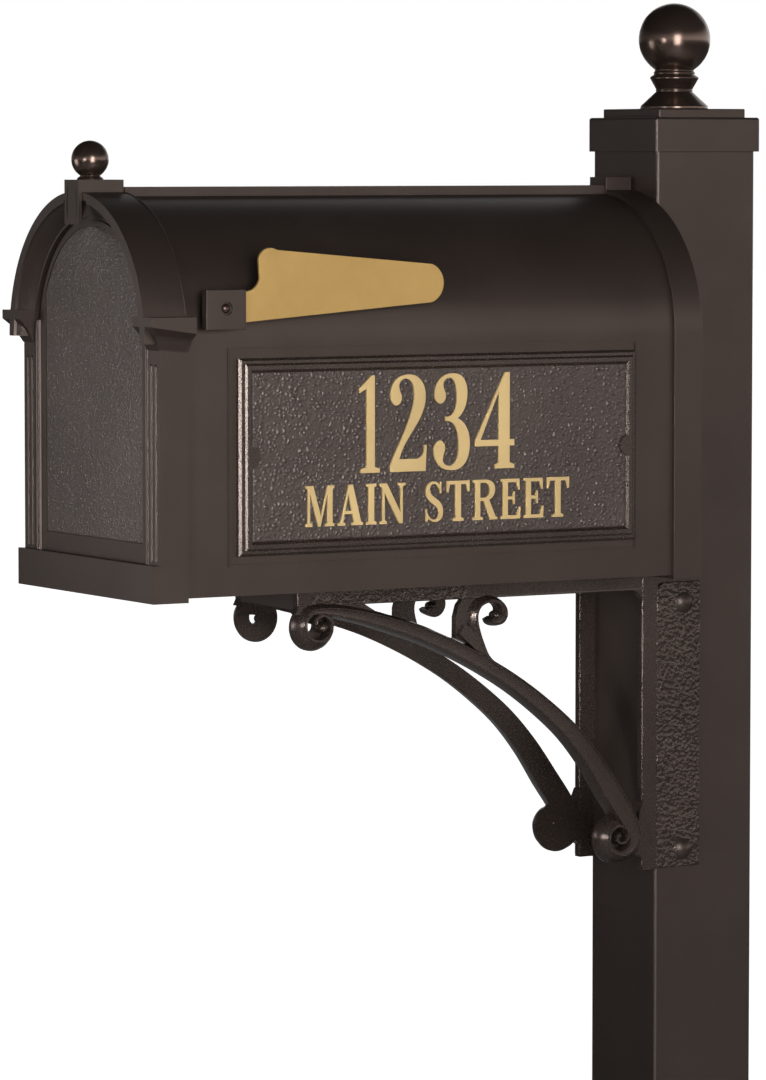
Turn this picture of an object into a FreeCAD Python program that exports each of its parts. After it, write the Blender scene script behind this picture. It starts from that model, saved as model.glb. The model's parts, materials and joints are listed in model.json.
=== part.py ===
import FreeCAD, Part
import math
import os
import Sketcher
from FreeCAD import Placement, Rotation, Vector

# Roadside mailbox on a square post, in millimetres.  The origin is the centre of the post's foot on
# the ground, +Z is up, the door faces -Y and the flag and the address plaque are on the +X side.

doc = FreeCAD.newDocument("post_mounted_mailbox")

SIZES = {
    # square post, its foot plate and its cap
    "post_width": 101.6, "post_wall": 3.2, "post_corner": 3.0, "post_top": 1452.0,
    "foot_size": 203.2, "foot_thick": 9.5, "foot_corner": 12.0, "foot_spacing": 152.4, "foot_hole": 14.3,
    "cap_width": 108.2, "cap_bottom": 1427.0, "cap_shoulder": 1456.5, "cap_top": 1464.0,
    "tier_width": 89.4, "cap_gap": 0.2, "cap_round": 2.4, "tier_round": 1.2,
    # ball finial of the post
    "ball_radius": 31.5, "ball_centre": 1524.6, "ball_neck": 17.0,
    "stud_radius": 4.0, "stud_bottom": 1438.0, "stud_top": 1482.0, "stud_hole": 4.2,
    # arched box: both castings are one wall wider than the sheet between them
    "arch_centre": 1273.0, "casting_half": 121.4, "casting_bottom": 1063.7, "casting_wall": 3.0,
    "shell_half": 117.8, "shell_bottom": 1067.0, "shell_thick": 2.5, "flange_width": 18.0,
    "shell_front": -562.0, "shell_rear": -57.0, "floor_thick": 2.0,
    "line_front": -509.8, "line_rear": -115.6, "line_bottom": 1090.5, "line_top": 1268.5,
    "line_width": 2.2, "line_proud": 0.8,
    # rear casting
    "rear_front": -78.8, "rear_face": -56.8, "rear_back": -50.8,
    "block_half": 13.0, "block_top": 1405.0, "block_seat": 1391.5,
    # ridge rail along the top of the arch
    "rail_half": 11.0, "rail_top": 1398.0, "rail_seat": 1386.0, "rail_front": -547.0, "rail_rear": -79.0,
    # door casting
    "door_rear": -547.7, "door_inner": -567.0, "door_panel": -571.0, "pilaster_front": -573.6,
    "band_front": -580.1, "hood_front": -587.3, "band_top": 1094.4, "pilaster_inner": 101.2,
    "sill_rear": -566.0, "flute_radius": 2.2, "flute_first": 106.6, "flute_second": 114.2,
    "flute_bottom": 1097.0, "flute_top": 1254.3, "bead_radius": 3.5, "bead_offset": 98.0,
    "corbel_half": 134.6, "corbel_top": 1294.5, "corbel_bottom": 1267.5, "corbel_edge": 7.5,
    "corbel_slope": 6.0, "rim_inner": 113.2, "roll_outer": 112.4, "roll_inner": 105.6,
    "cove_inner": 101.2, "groove_inner": 98.0, "groove_depth": 1.5,
    "field_half": 86.0, "field_radius": 93.5, "field_bottom": 1110.0, "field_recess": 0.6,
    "pocket_half": 20.0, "pocket_bottom": 1367.0, "pocket_top": 1387.0,
    # keystone pull with its block and small ball
    "key_half": 12.7, "key_bottom": 1367.5, "key_top": 1404.0, "key_front": -590.3,
    "key_border": 3.8, "key_recess": 0.8, "key_rear": -548.8,
    "knob_centre": 1420.5, "knob_radius": 15.5, "knob_depth": -573.0, "knob_collar": 11.0,
    # hinge of the door
    "hinge_depth": -554.0, "hinge_height": 1076.0, "pin_radius": 2.5, "pin_clearance": 0.05,
    "pin_head": 4.0, "pin_inner": 112.3, "pin_outer": 121.0,
    # magnetic catch
    "catch_half": 12.0, "catch_bottom": 1366.0, "catch_front": -560.0, "catch_thick": 2.5,
    "catch_rear": -532.0, "magnet_half": 8.0, "magnet_front": -565.4, "strike_half": 14.0,
    # brackets and the plate that they carry
    "web_inner": 46.0, "web_outer": 54.3, "scroll_outer": 61.0, "shelf_top": 1063.7,
    "shelf_bottom": 1049.0, "shelf_front": -409.0, "leg_front": -66.6, "leg_bottom": 805.0,
    "cheek_rear": -6.6, "cheek_top": 1055.0, "cheek_bottom": 806.0, "cheek_corner": 10.0,
    "volute_radius": 19.5, "front_volute_depth": -394.5, "front_volute_height": 1030.5,
    "lower_volute_depth": -89.0, "lower_volute_height": 836.0, "lower_volute_radius": 22.5,
    "curl_radius": 14.0, "curl_depth": -222.0, "curl_height": 1037.5,
    "cheek_bolt_depth": -24.0, "cheek_bolt_high": 1036.7, "cheek_bolt_low": 821.2,
    "bolt_radius": 4.0, "bolt_hole": 4.2, "bolt_head": 9.5, "bolt_dome": 4.6,
    "plate_thick": 3.3, "plate_rear": -79.3, "lip_bottom": 1046.5, "lip_front": -408.0,
    # address plaque on the +X side
    "plaque_front": -502.0, "plaque_rear": -119.0, "plaque_bottom": 1099.3, "plaque_top": 1260.0,
    "plaque_base": 6.0, "plaque_step": 3.0, "plaque_bevel": 2.0, "plaque_inset": 2.4, "plaque_edge": 1.6,
    "plaque_border": 11.4, "plaque_recess": 2.4, "plaque_draft": 2.0,
    "boss_radius": 8.8, "character_proud": 1.8,
    # flag
    "flag_depth": -518.8, "flag_height": 1301.0, "hub_front": -537.6, "hub_rear": -501.2,
    "hub_bottom": 1284.0, "hub_top": 1316.0, "hub_inner": 126.3, "hub_outer": 134.0,
    "blade_inner": 129.2, "blade_outer": 132.2, "blade_tab": -511.0, "blade_tip": -314.3,
    "flag_screw": 2.5, "flag_head": 4.0, "flag_seat": 5.2, "flag_sink": 2.2,
}

sheet = doc.addObject("Spreadsheet::Sheet", "Sizes")
for row, (alias, number) in enumerate(SIZES.items(), start=1):
    sheet.set("A%d" % row, alias)
    sheet.set("B%d" % row, str(number))
    sheet.setAlias("B%d" % row, alias)
doc.recompute()

NODES = {}
SIDES = {"right": 1, "left": -1}


# ---------------------------------------------------------------- formulas, primitives and sketches

def size(alias):
    """The sheet's number for an alias."""
    return float(sheet.get(alias))


def operand(token):
    """The number that one word of a formula stands for."""
    name = token.lstrip("-")
    number = size(name) if name in SIZES else float(name)
    return -number if token.startswith("-") else number


def value(text):
    """The number of a formula: aliases and numbers joined by + - * and /, with spaces between."""
    words = text.split()
    terms = [operand(words[0])]
    for operator, word in zip(words[1::2], words[2::2]):
        if operator == "*":
            terms[-1] *= operand(word)
        elif operator == "/":
            terms[-1] /= operand(word)
        else:
            terms.append(operand(word) if operator == "+" else -operand(word))
    return sum(terms)


def linked(text):
    """The same formula as an expression on the sheet's cells."""
    words = []
    for word in text.split():
        name = word.lstrip("-")
        sign = "-" if word.startswith("-") and len(word) > 1 else ""
        words.append(sign + ("Sizes." + name if name in SIZES else name) if name else word)
    return " ".join(words)


def bind(part, **formulas):
    """Bind properties of a part to the sheet; x, y and z stand for its position."""
    for key, text in formulas.items():
        path = ".Placement.Base." + key if key in ("x", "y", "z") else key
        part.setExpression(path, linked(text))
    return part


def node(label, part):
    """Register a finished sub-part under the name of its file."""
    part.Label = label
    NODES[label] = part
    return part


def box(name, xs, ys, zs):
    """A Part::Box between two formulas on each axis."""
    part = doc.addObject("Part::Box", name)
    bind(part, x=xs[0], y=ys[0], z=zs[0])
    for prop, (low, high) in (("Length", xs), ("Width", ys), ("Height", zs)):
        part.setExpression(prop, "(%s) - (%s)" % (linked(high), linked(low)))
    return part


TURNS = {"x": Rotation(Vector(0, 1, 0), 90), "y": Rotation(Vector(1, 0, 0), -90), "z": Rotation()}


def cylinder(name, axis, radius, start, length, x="0", y="0", z="0"):
    """A Part::Cylinder along +axis; start is a formula for its lower end on that axis."""
    part = doc.addObject("Part::Cylinder", name)
    part.Placement = Placement(Vector(), TURNS[axis])
    where = {"x": x, "y": y, "z": z}
    where[axis] = start
    return bind(part, Radius=radius, Height=length, **where)


def fuse(name, *parts):
    """The union of several parts."""
    union = doc.addObject("Part::MultiFuse", name)
    union.Shapes = list(parts)
    union.Refine = True
    return union


def cut(name, base, *tools):
    """A part less one or more tools."""
    result = doc.addObject("Part::Cut", name)
    result.Base = base
    result.Tool = tools[0] if len(tools) == 1 else fuse(name + "_tools", *tools)
    result.Refine = True
    return result


def common(name, first, second):
    """The overlap of two parts."""
    result = doc.addObject("Part::Common", name)
    result.Base = first
    result.Tool = second
    return result


def shaped(name, shape):
    """A Part::Feature that holds a shape made from the sheet's sizes."""
    part = doc.addObject("Part::Feature", name)
    part.Shape = shape
    part.Placement = Placement()
    return part


def arch_prism(name, half, bottom, ys):
    """A round-topped block: half its width is also the radius of its arch."""
    flank = box(name + "_flank", ("-1 * " + half, half), ys, (bottom, "arch_centre"))
    arch = cylinder(name + "_arch", "y", half, ys[0], "1", z="arch_centre")
    arch.setExpression("Height", "(%s) - (%s)" % (linked(ys[1]), linked(ys[0])))
    return fuse(name, flank, arch)


def new_body(label):
    """A PartDesign body that is a sub-part of its own."""
    return node(label, doc.addObject("PartDesign::Body", label))


def new_sketch(body, name, role, offset="0"):
    """A sketch on one of the body's origin planes, moved along the plane's normal."""
    sketch = body.newObject("Sketcher::SketchObject", name)
    plane = [item for item in body.Origin.OriginFeatures if item.Role == role][0]
    sketch.AttachmentSupport = [(plane, "")]
    sketch.MapMode = "FlatFace"
    sketch.setExpression(".AttachmentOffset.Base.z", linked(offset))
    return sketch


def pin_point(sketch, edge, end, across, up):
    """Hold one end of an edge at two formulas measured from the sketch's origin."""
    for kind, text in (("DistanceX", across), ("DistanceY", up)):
        index = sketch.addConstraint(Sketcher.Constraint(kind, -1, 1, edge, end, value(text)))
        label = "%s_%d_%d" % (kind, edge, end)
        sketch.renameConstraint(index, label)
        sketch.setExpression("Constraints." + label, linked(text))


def polygon(sketch, corners):
    """A closed outline whose corners are pairs of formulas."""
    first = sketch.GeometryCount
    points = [Vector(value(across), value(up), 0) for across, up in corners]
    for start, end in zip(points, points[1:] + points[:1]):
        sketch.addGeometry(Part.LineSegment(start, end), False)
    count = len(points)
    for index in range(count):
        follower = first + (index + 1) % count
        sketch.addConstraint(Sketcher.Constraint("Coincident", first + index, 2, follower, 1))
        pin_point(sketch, first + index, 1, *corners[index])


def rectangle(sketch, xs, ys):
    """A rectangle between two formulas each way."""
    polygon(sketch, [(xs[0], ys[0]), (xs[1], ys[0]), (xs[1], ys[1]), (xs[0], ys[1])])


def circle(sketch, across, up, radius):
    """A circle whose centre and radius are formulas."""
    centre = Vector(value(across), value(up), 0)
    edge = sketch.addGeometry(Part.Circle(centre, Vector(0, 0, 1), value(radius)), False)
    pin_point(sketch, edge, 3, across, up)
    index = sketch.addConstraint(Sketcher.Constraint("Radius", edge, value(radius)))
    sketch.renameConstraint(index, "radius_%d" % edge)
    sketch.setExpression("Constraints.radius_%d" % edge, linked(radius))


def half_disc(sketch, across, up, radius, sign):
    """A half circle that bulges towards sign, closed along its upright diameter."""
    centre, reach = Vector(value(across), value(up), 0), Vector(0, value(radius), 0)
    turn = -math.pi / 2 if sign > 0 else math.pi / 2
    ring = Part.Circle(centre, Vector(0, 0, 1), value(radius))
    curve = sketch.addGeometry(Part.ArcOfCircle(ring, turn, turn + math.pi), False)
    start, end = (centre - reach, centre + reach) if sign > 0 else (centre + reach, centre - reach)
    line = sketch.addGeometry(Part.LineSegment(start, end), False)
    pin_point(sketch, curve, 3, across, up)
    index = sketch.addConstraint(Sketcher.Constraint("Radius", curve, value(radius)))
    sketch.renameConstraint(index, "radius_%d" % curve)
    sketch.setExpression("Constraints.radius_%d" % curve, linked(radius))
    for end in (1, 2):
        sketch.addConstraint(Sketcher.Constraint("Coincident", curve, end, line, end))
    sketch.addConstraint(Sketcher.Constraint("Vertical", line))
    sketch.addConstraint(Sketcher.Constraint("PointOnObject", curve, 3, line))


def arch(sketch, half, bottom):
    """A flat-bottomed outline with a half-round top about the arch's centre."""
    wide, low, high = value(half), value(bottom), size("arch_centre")
    corners = [Vector(-wide, high, 0), Vector(-wide, low, 0), Vector(wide, low, 0), Vector(wide, high, 0)]
    first = sketch.GeometryCount
    for start, end in zip(corners, corners[1:]):
        sketch.addGeometry(Part.LineSegment(start, end), False)
    round_top = Part.ArcOfCircle(Part.Circle(Vector(0, high, 0), Vector(0, 0, 1), wide), 0, math.pi)
    top = sketch.addGeometry(round_top, False)
    pin_point(sketch, top, 3, "0", "arch_centre")
    for kind, edge, end, text in (("Radius", top, None, half), ("DistanceY", first, 2, bottom)):
        place = (edge,) if end is None else (-1, 1, edge, end)
        index = sketch.addConstraint(Sketcher.Constraint(kind, *place, value(text)))
        sketch.renameConstraint(index, "%s_%d" % (kind, edge))
        sketch.setExpression("Constraints.%s_%d" % (kind, edge), linked(text))
    for edge, end, other, start in ((first, 2, first + 1, 1), (first + 1, 2, first + 2, 1),
                                    (first + 2, 2, top, 1), (top, 2, first, 1)):
        sketch.addConstraint(Sketcher.Constraint("Coincident", edge, end, other, start))
    for edge in (first, first + 2):
        sketch.addConstraint(Sketcher.Constraint("Vertical", edge))
    sketch.addConstraint(Sketcher.Constraint("Horizontal", first + 1))
    for end in (1, 2):
        sketch.addConstraint(Sketcher.Constraint("Horizontal", top, end, top, 3))


def pad(body, sketch, length, reverse=False):
    """Extrude a sketch by a formula."""
    feature = body.newObject("PartDesign::Pad", sketch.Name + "_pad")
    feature.Profile = sketch
    feature.Reversed = reverse
    feature.setExpression("Length", linked(length))
    return feature


def pocket(body, sketch, length=None, reverse=False):
    """Cut a sketch through everything, both ways, or to a formula's depth."""
    feature = body.newObject("PartDesign::Pocket", sketch.Name + "_pocket")
    feature.Profile = sketch
    if length is None:
        feature.Type = "ThroughAll"
        feature.Midplane = True
    else:
        feature.Reversed = reverse
        feature.setExpression("Length", linked(length))
    return feature


def dressed(body, kind, name, base, amount, wanted):
    """Fillet or chamfer the edges of a feature that pass a test."""
    doc.recompute()
    edges = ["Edge%d" % (i + 1) for i, edge in enumerate(base.Shape.Edges) if wanted(edge)]
    feature = body.newObject("PartDesign::" + kind, name)
    feature.Base = (base, edges)
    feature.setExpression("Radius" if kind == "Fillet" else "Size", linked(amount))
    return feature


def is_along(axis):
    """A test for straight edges parallel to an axis vector."""
    def test(edge):
        if len(edge.Vertexes) != 2:
            return False
        run = edge.Vertexes[1].Point - edge.Vertexes[0].Point
        return run.Length > 0 and abs(abs(run.normalize().dot(axis)) - 1) < 1e-6
    return test


# ------------------------------------------------------------------------- fasteners, as plain shapes

def rod(axis, radius, low, high, centre):
    """A cylinder shape between two numbers on an axis."""
    base = Vector(*centre)
    setattr(base, axis, min(low, high))
    direction = {"x": Vector(1, 0, 0), "y": Vector(0, 1, 0), "z": Vector(0, 0, 1)}[axis]
    return Part.makeCylinder(radius, abs(high - low), base, direction)


def dome(axis, sign, radius, height, face, centre):
    """A low round head that stands on a face and bulges towards sign on the axis."""
    sphere_radius = (radius ** 2 + height ** 2) / (2 * height)
    middle = Vector(*centre)
    setattr(middle, axis, face + sign * (height - sphere_radius))
    ball = Part.makeSphere(sphere_radius, middle)
    return ball.common(rod(axis, radius, face, face + sign * height, centre))


def hexagon(axis, across_flats, low, high, centre, bore):
    """A hexagon nut with a round bore."""
    radius = across_flats / math.sqrt(3)
    points = [Vector(radius * math.cos(k * math.pi / 3), radius * math.sin(k * math.pi / 3), 0)
              for k in range(7)]
    prism = Part.Face(Part.makePolygon(points)).extrude(Vector(0, 0, abs(high - low)))
    base = Vector(*centre)
    setattr(base, axis, min(low, high))
    prism.Placement = Placement(base, TURNS[axis])
    return prism.cut(rod(axis, bore, low, high, centre))


def group(label, shapes):
    """A node of identical separate solids."""
    solids = [solid for shape in shapes for solid in shape.Solids]
    return node(label, shaped(label, Part.makeCompound(solids)))


# --------------------------------------------------------------------------------------- the post

def make_foot():
    """Foot plate with four anchor holes."""
    body = new_body("foot_plate")
    outline = new_sketch(body, "foot_outline", "XY_Plane")
    rectangle(outline, ("-1 * foot_size / 2", "foot_size / 2"), ("-1 * foot_size / 2", "foot_size / 2"))
    slab = pad(body, outline, "foot_thick")
    dressed(body, "Fillet", "foot_corners", slab, "foot_corner", is_along(Vector(0, 0, 1)))
    holes = new_sketch(body, "foot_holes", "XY_Plane")
    for across in ("foot_spacing / 2", "-1 * foot_spacing / 2"):
        for up in ("foot_spacing / 2", "-1 * foot_spacing / 2"):
            circle(holes, across, up, "foot_hole / 2")
    pocket(body, holes)


def make_post():
    """Square tube, drilled for the bracket bolts and the screws of the box."""
    body = new_body("post_tube")
    outline = new_sketch(body, "post_outline", "XY_Plane", "foot_thick")
    rectangle(outline, ("-1 * post_width / 2", "post_width / 2"), ("-1 * post_width / 2", "post_width / 2"))
    bar = pad(body, outline, "post_top - foot_thick")
    dressed(body, "Fillet", "post_corners", bar, "post_corner", is_along(Vector(0, 0, 1)))
    inside = new_sketch(body, "post_inside", "XY_Plane")
    span = ("-1 * post_width / 2 + post_wall", "post_width / 2 - post_wall")
    rectangle(inside, span, span)
    pocket(body, inside)
    bolts = new_sketch(body, "post_bolt_holes", "YZ_Plane")
    for up in ("cheek_bolt_high", "cheek_bolt_low"):
        circle(bolts, "cheek_bolt_depth", up, "bolt_hole")
    pocket(body, bolts)


def make_cap():
    """Hollow cap: a plain skirt with rounded edges and a smaller raised square."""
    body = new_body("post_cap")
    skirt = new_sketch(body, "cap_skirt", "XY_Plane", "cap_bottom")
    rectangle(skirt, ("-1 * cap_width / 2", "cap_width / 2"), ("-1 * cap_width / 2", "cap_width / 2"))
    block = pad(body, skirt, "cap_shoulder - cap_bottom")
    dressed(body, "Fillet", "cap_rounded", block, "cap_round",
            lambda edge: edge.CenterOfMass.z > size("cap_bottom") + 1)
    tier = new_sketch(body, "cap_tier", "XY_Plane", "cap_shoulder")
    rectangle(tier, ("-1 * tier_width / 2", "tier_width / 2"), ("-1 * tier_width / 2", "tier_width / 2"))
    raised = pad(body, tier, "cap_top - cap_shoulder")
    dressed(body, "Fillet", "tier_rounded", raised, "tier_round",
            lambda edge: edge.CenterOfMass.z > size("cap_shoulder") + 1)
    hollow = new_sketch(body, "cap_hollow", "XY_Plane", "cap_bottom")
    span = ("-1 * post_width / 2 - cap_gap", "post_width / 2 + cap_gap")
    rectangle(hollow, span, span)
    pocket(body, hollow, "post_top - cap_bottom", reverse=True)
    hole = new_sketch(body, "cap_hole", "XY_Plane")
    circle(hole, "0", "0", "stud_hole")
    pocket(body, hole)


# turned foot of the ball: radius and height above the cap
FINIAL_TURNING = [(29.7, 0.0), (29.7, 2.6), (28.9, 3.4), (15.8, 15.4), (16.6, 16.2), (15.8, 17.0),
                  (21.0, 26.0), (21.6, 26.8), (21.2, 28.0), (17.6, 30.4), (18.4, 31.6), (17.4, 32.8)]
KNOB_NECK = 8.0
KNOB_STUD = 3.0


def make_finials():
    """Turned ball on the cap, its stud and nut, and the small ball on the door."""
    seat, ball, radius, neck = (size(a) for a in ("cap_top", "ball_centre", "ball_radius", "ball_neck"))
    points = [Vector(0, 0, seat)] + [Vector(r, 0, seat + height) for r, height in FINIAL_TURNING]
    points.append(Vector(neck, 0, ball - math.sqrt(radius ** 2 - neck ** 2)))
    top = Vector(0, 0, ball + radius)
    edges = [Part.LineSegment(a, b).toShape() for a, b in zip(points, points[1:])]
    edges.append(Part.Arc(points[-1], Vector(radius, 0, ball), top).toShape())
    edges.append(Part.LineSegment(top, points[0]).toShape())
    turned = Part.Face(Part.Wire(edges)).revolve(Vector(), Vector(0, 0, 1), 360)
    stud = rod("z", size("stud_radius"), size("stud_bottom"), size("stud_top"), (0, 0, 0))
    node("post_finial", shaped("post_finial", turned.cut(stud)))
    node("finial_stud", cylinder("finial_stud", "z", "stud_radius", "stud_bottom",
                                 "stud_top - stud_bottom"))
    inside = size("post_top")
    nut = hexagon("z", 13.0, inside - 6.5, inside, (0, 0, 0), size("stud_radius"))
    node("finial_nut", shaped("finial_nut", nut))

    seat, ball, radius = size("key_top"), size("knob_centre"), size("knob_radius")
    foot, depth = size("knob_collar"), size("knob_depth")
    neck_height = ball - math.sqrt(radius ** 2 - KNOB_NECK ** 2)
    top = Vector(0, 0, ball + radius)
    points = [Vector(0, 0, seat), Vector(foot, 0, seat), Vector(foot, 0, seat + 1),
              Vector(KNOB_NECK, 0, neck_height)]
    edges = [Part.LineSegment(a, b).toShape() for a, b in zip(points, points[1:])]
    edges.append(Part.Arc(points[-1], Vector(radius, 0, ball), top).toShape())
    edges.append(Part.LineSegment(top, points[0]).toShape())
    knob = Part.Face(Part.Wire(edges)).revolve(Vector(), Vector(0, 0, 1), 360)
    knob.translate(Vector(0, depth, 0))
    screw = rod("z", KNOB_STUD, seat - 5, seat + 12, (0, depth, 0))
    node("door_finial", shaped("door_finial", knob.cut(screw)))
    node("door_finial_stud", shaped("door_finial_stud", screw))


# ---------------------------------------------------------------------------------------- the box

FLOOR_SCREWS = [(x, y) for x in (-30, 30) for y in (-370, -110)]
FLOOR_RIVETS = [(x, y) for x in (-106, 106) for y in (-540, -385, -230, -75)]
REAR_RIVETS = [(side, z) for side in (-1, 1) for z in (1110, 1240)]
REAR_RIVET_DEPTH = -68.0
REAR_RIVET_REACH = 2.2
RAIL_RIVETS = [-520, -415, -313, -211, -110]
PLAQUE_STUDS = [(y, z) for y in (-485, -142) for z in (1112, 1248)]
POST_SCREWS = [(x, z) for x in (-28, 28) for z in (1150, 1250)]
CATCH_RIVETS = (-7, 7)
PULL_SCREWS = [(x, 0, 1389) for x in (-7, 7)]
STRIKE_RIVETS = [(x, 0, 1374) for x in (-11, 11)]
# radii of the rivet and screw shanks, and the round head of a rivet
FASTENER = 2.0
SCREW_M6 = 3.0
PULL_SCREW = 1.25
STRIKE_RIVET = 1.5
RIVET_HEAD, RIVET_DOME = 3.6, 1.4
SCREW_HEAD, SCREW_DOME = 6.0, 3.0


def make_shell():
    """Arched sheet with turned-in lower flanges and a raised line frame on both flanks."""
    body = new_body("body_shell")
    front = "-1 * shell_front"
    outside = new_sketch(body, "shell_outside", "XZ_Plane", front)
    arch(outside, "shell_half", "shell_bottom")
    pad(body, outside, "shell_rear - shell_front", reverse=True)
    inside = new_sketch(body, "shell_inside", "XZ_Plane", front)
    arch(inside, "shell_half - shell_thick", "shell_bottom + floor_thick + shell_thick")
    pocket(body, inside)
    slot = new_sketch(body, "flange_gap", "XZ_Plane", front)
    reach = "shell_half - shell_thick - flange_width"
    rectangle(slot, ("-1 * shell_half + shell_thick + flange_width", reach),
              ("shell_bottom - 1", "shell_bottom + floor_thick + shell_thick + 1"))
    pocket(body, slot)
    recess = new_sketch(body, "floor_seat", "XZ_Plane", front)
    rectangle(recess, ("-1 * shell_half + shell_thick", "shell_half - shell_thick"),
              ("shell_bottom - 1", "shell_bottom + floor_thick"))
    pocket(body, recess)
    ring = new_sketch(body, "side_lines", "YZ_Plane", "-1 * shell_half - line_proud")
    rectangle(ring, ("line_front", "line_rear"), ("line_bottom", "line_top"))
    rectangle(ring, ("line_front + line_width", "line_rear - line_width"),
              ("line_bottom + line_width", "line_top - line_width"))
    pad(body, ring, "line_proud")
    ring = new_sketch(body, "side_lines_right", "YZ_Plane", "shell_half")
    rectangle(ring, ("line_front", "line_rear"), ("line_bottom", "line_top"))
    rectangle(ring, ("line_front + line_width", "line_rear - line_width"),
              ("line_bottom + line_width", "line_top - line_width"))
    pad(body, ring, "line_proud")
    holes = new_sketch(body, "hinge_holes", "YZ_Plane")
    circle(holes, "hinge_depth", "hinge_height", "pin_radius + pin_clearance")
    for side, z in REAR_RIVETS[:2]:
        circle(holes, str(REAR_RIVET_DEPTH), str(z), str(FASTENER))
    pocket(body, holes)
    flank = new_sketch(body, "plaque_holes", "YZ_Plane", "shell_half - shell_thick - 1")
    for y, z in PLAQUE_STUDS:
        circle(flank, str(y), str(z), str(FASTENER))
    pocket(body, flank, "shell_thick + 2", reverse=True)
    hub = new_sketch(body, "flag_hole", "YZ_Plane", "shell_half / 2")
    circle(hub, "flag_depth", "flag_height", "flag_screw + 0.2")
    pocket(body, hub, "shell_half", reverse=True)
    crown = new_sketch(body, "rail_holes", "XY_Plane", "arch_centre + 90")
    for y in RAIL_RIVETS:
        circle(crown, "0", str(y), str(FASTENER))
    for x in CATCH_RIVETS:
        circle(crown, str(x), "catch_rear + 6", str(FASTENER))
    pocket(body, crown, "50", reverse=True)
    feet = new_sketch(body, "floor_rivet_holes", "XY_Plane", "shell_bottom")
    for x, y in FLOOR_RIVETS:
        circle(feet, str(x), str(y), str(FASTENER))
    pocket(body, feet, "20", reverse=True)


def make_floor():
    """Floor pan under the flanges, and the rivets that join them."""
    body = new_body("floor_pan")
    outline = new_sketch(body, "floor_outline", "XY_Plane", "shell_bottom")
    rectangle(outline, ("-1 * shell_half + shell_thick", "shell_half - shell_thick"),
              ("shell_front + 0.5", "shell_rear"))
    for x, y in FLOOR_SCREWS:
        circle(outline, str(x), str(y), str(SCREW_M6 + 0.2))
    for x, y in FLOOR_RIVETS:
        circle(outline, str(x), str(y), str(FASTENER))
    pad(body, outline, "floor_thick")
    low = size("shell_bottom")
    high = low + size("floor_thick") + size("shell_thick")
    rivets = [rod("z", FASTENER, low, high, (x, y, 0)).fuse(
        dome("z", 1, RIVET_HEAD, RIVET_DOME, high, (x, y, 0)))
              for x, y in FLOOR_RIVETS]
    group("floor_rivets", rivets)


def make_rear_cap():
    """Rear casting that closes the shell against the post, with the block on its crown."""
    outside = arch_prism("rear_outside", "casting_half", "casting_bottom", ("rear_front", "rear_back"))
    inside = arch_prism("rear_inside", "shell_half", "shell_bottom", ("rear_front", "rear_face"))
    crown = box("rear_block", ("-1 * block_half", "block_half"), ("rear_front", "rear_back - 1.9"),
                ("block_seat", "block_top"))
    holes = [cylinder("rear_hole_%d" % i, "y", str(SCREW_M6 + 0.2), "rear_face - 2", "20",
                      x=str(x), z=str(z)) for i, (x, z) in enumerate(POST_SCREWS)]
    reach = str(REAR_RIVET_REACH)
    sockets = [cylinder("rear_socket_%d" % i, "x", str(FASTENER),
                        "-1 * shell_half - " + reach if side < 0 else "shell_half", reach,
                        y=str(REAR_RIVET_DEPTH), z=str(z))
               for i, (side, z) in enumerate(REAR_RIVETS)]
    hull = cut("rear_hull", outside, inside)
    node("rear_cap", cut("rear_cap", fuse("rear_solid", hull, crown), *holes, *sockets))
    inner = size("shell_half") - size("shell_thick")
    rivets = []
    for side, z in REAR_RIVETS:
        centre = (0, REAR_RIVET_DEPTH, z)
        shank = rod("x", FASTENER, side * inner, side * (size("shell_half") + REAR_RIVET_REACH), centre)
        rivets.append(shank.fuse(dome("x", -side, RIVET_HEAD, RIVET_DOME, side * inner, centre)))
    group("rear_cap_rivets", rivets)
    face = size("rear_face")
    wall = -size("post_width") / 2 + size("post_wall")
    screws, nuts = [], []
    for x, z in POST_SCREWS:
        centre = (x, 0, z)
        screws.append(rod("y", SCREW_M6, face, wall + 8, centre).fuse(
            dome("y", -1, SCREW_HEAD, SCREW_DOME, face, centre)))
        nuts.append(hexagon("y", 10.0, wall, wall + 5, centre, SCREW_M6))
    group("post_screws", screws)
    group("post_nuts", nuts)


def drill_post_front():
    """Holes in the post's front wall for the screws of the rear casting."""
    body = NODES["post_tube"]
    holes = new_sketch(body, "post_front_holes", "XZ_Plane", "post_width / 2 - post_wall - 1")
    for x, z in POST_SCREWS:
        circle(holes, str(x), str(z), str(SCREW_M6 + 0.2))
    pocket(body, holes, "post_wall + 2", reverse=True)


def make_rail():
    """Ridge rail that saddles the arch, riveted from inside."""
    bar = box("rail_bar", ("-1 * rail_half", "rail_half"), ("rail_front", "rail_rear"),
              ("rail_seat", "rail_top"))
    seat = cylinder("rail_seat_round", "y", "shell_half", "rail_front - 5",
                    "rail_rear - rail_front + 10", z="arch_centre")
    saddle = cut("rail_saddle", bar, seat)
    crown = size("arch_centre") + size("shell_half")
    inner = crown - size("shell_thick")
    holes = Part.makeCompound([rod("z", FASTENER, inner, crown + 3.5, (0, y, 0)) for y in RAIL_RIVETS])
    node("ridge_rail", cut("ridge_rail", saddle, shaped("rail_holes_tool", holes)))
    rivets = [rod("z", FASTENER, inner - 0.1, crown + 3.5, (0, y, 0))
              .fuse(dome("z", -1, RIVET_HEAD, RIVET_DOME, inner - 0.1, (0, y, 0))) for y in RAIL_RIVETS]
    group("rail_rivets", rivets)


# --------------------------------------------------------------------------------------- the door

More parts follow.
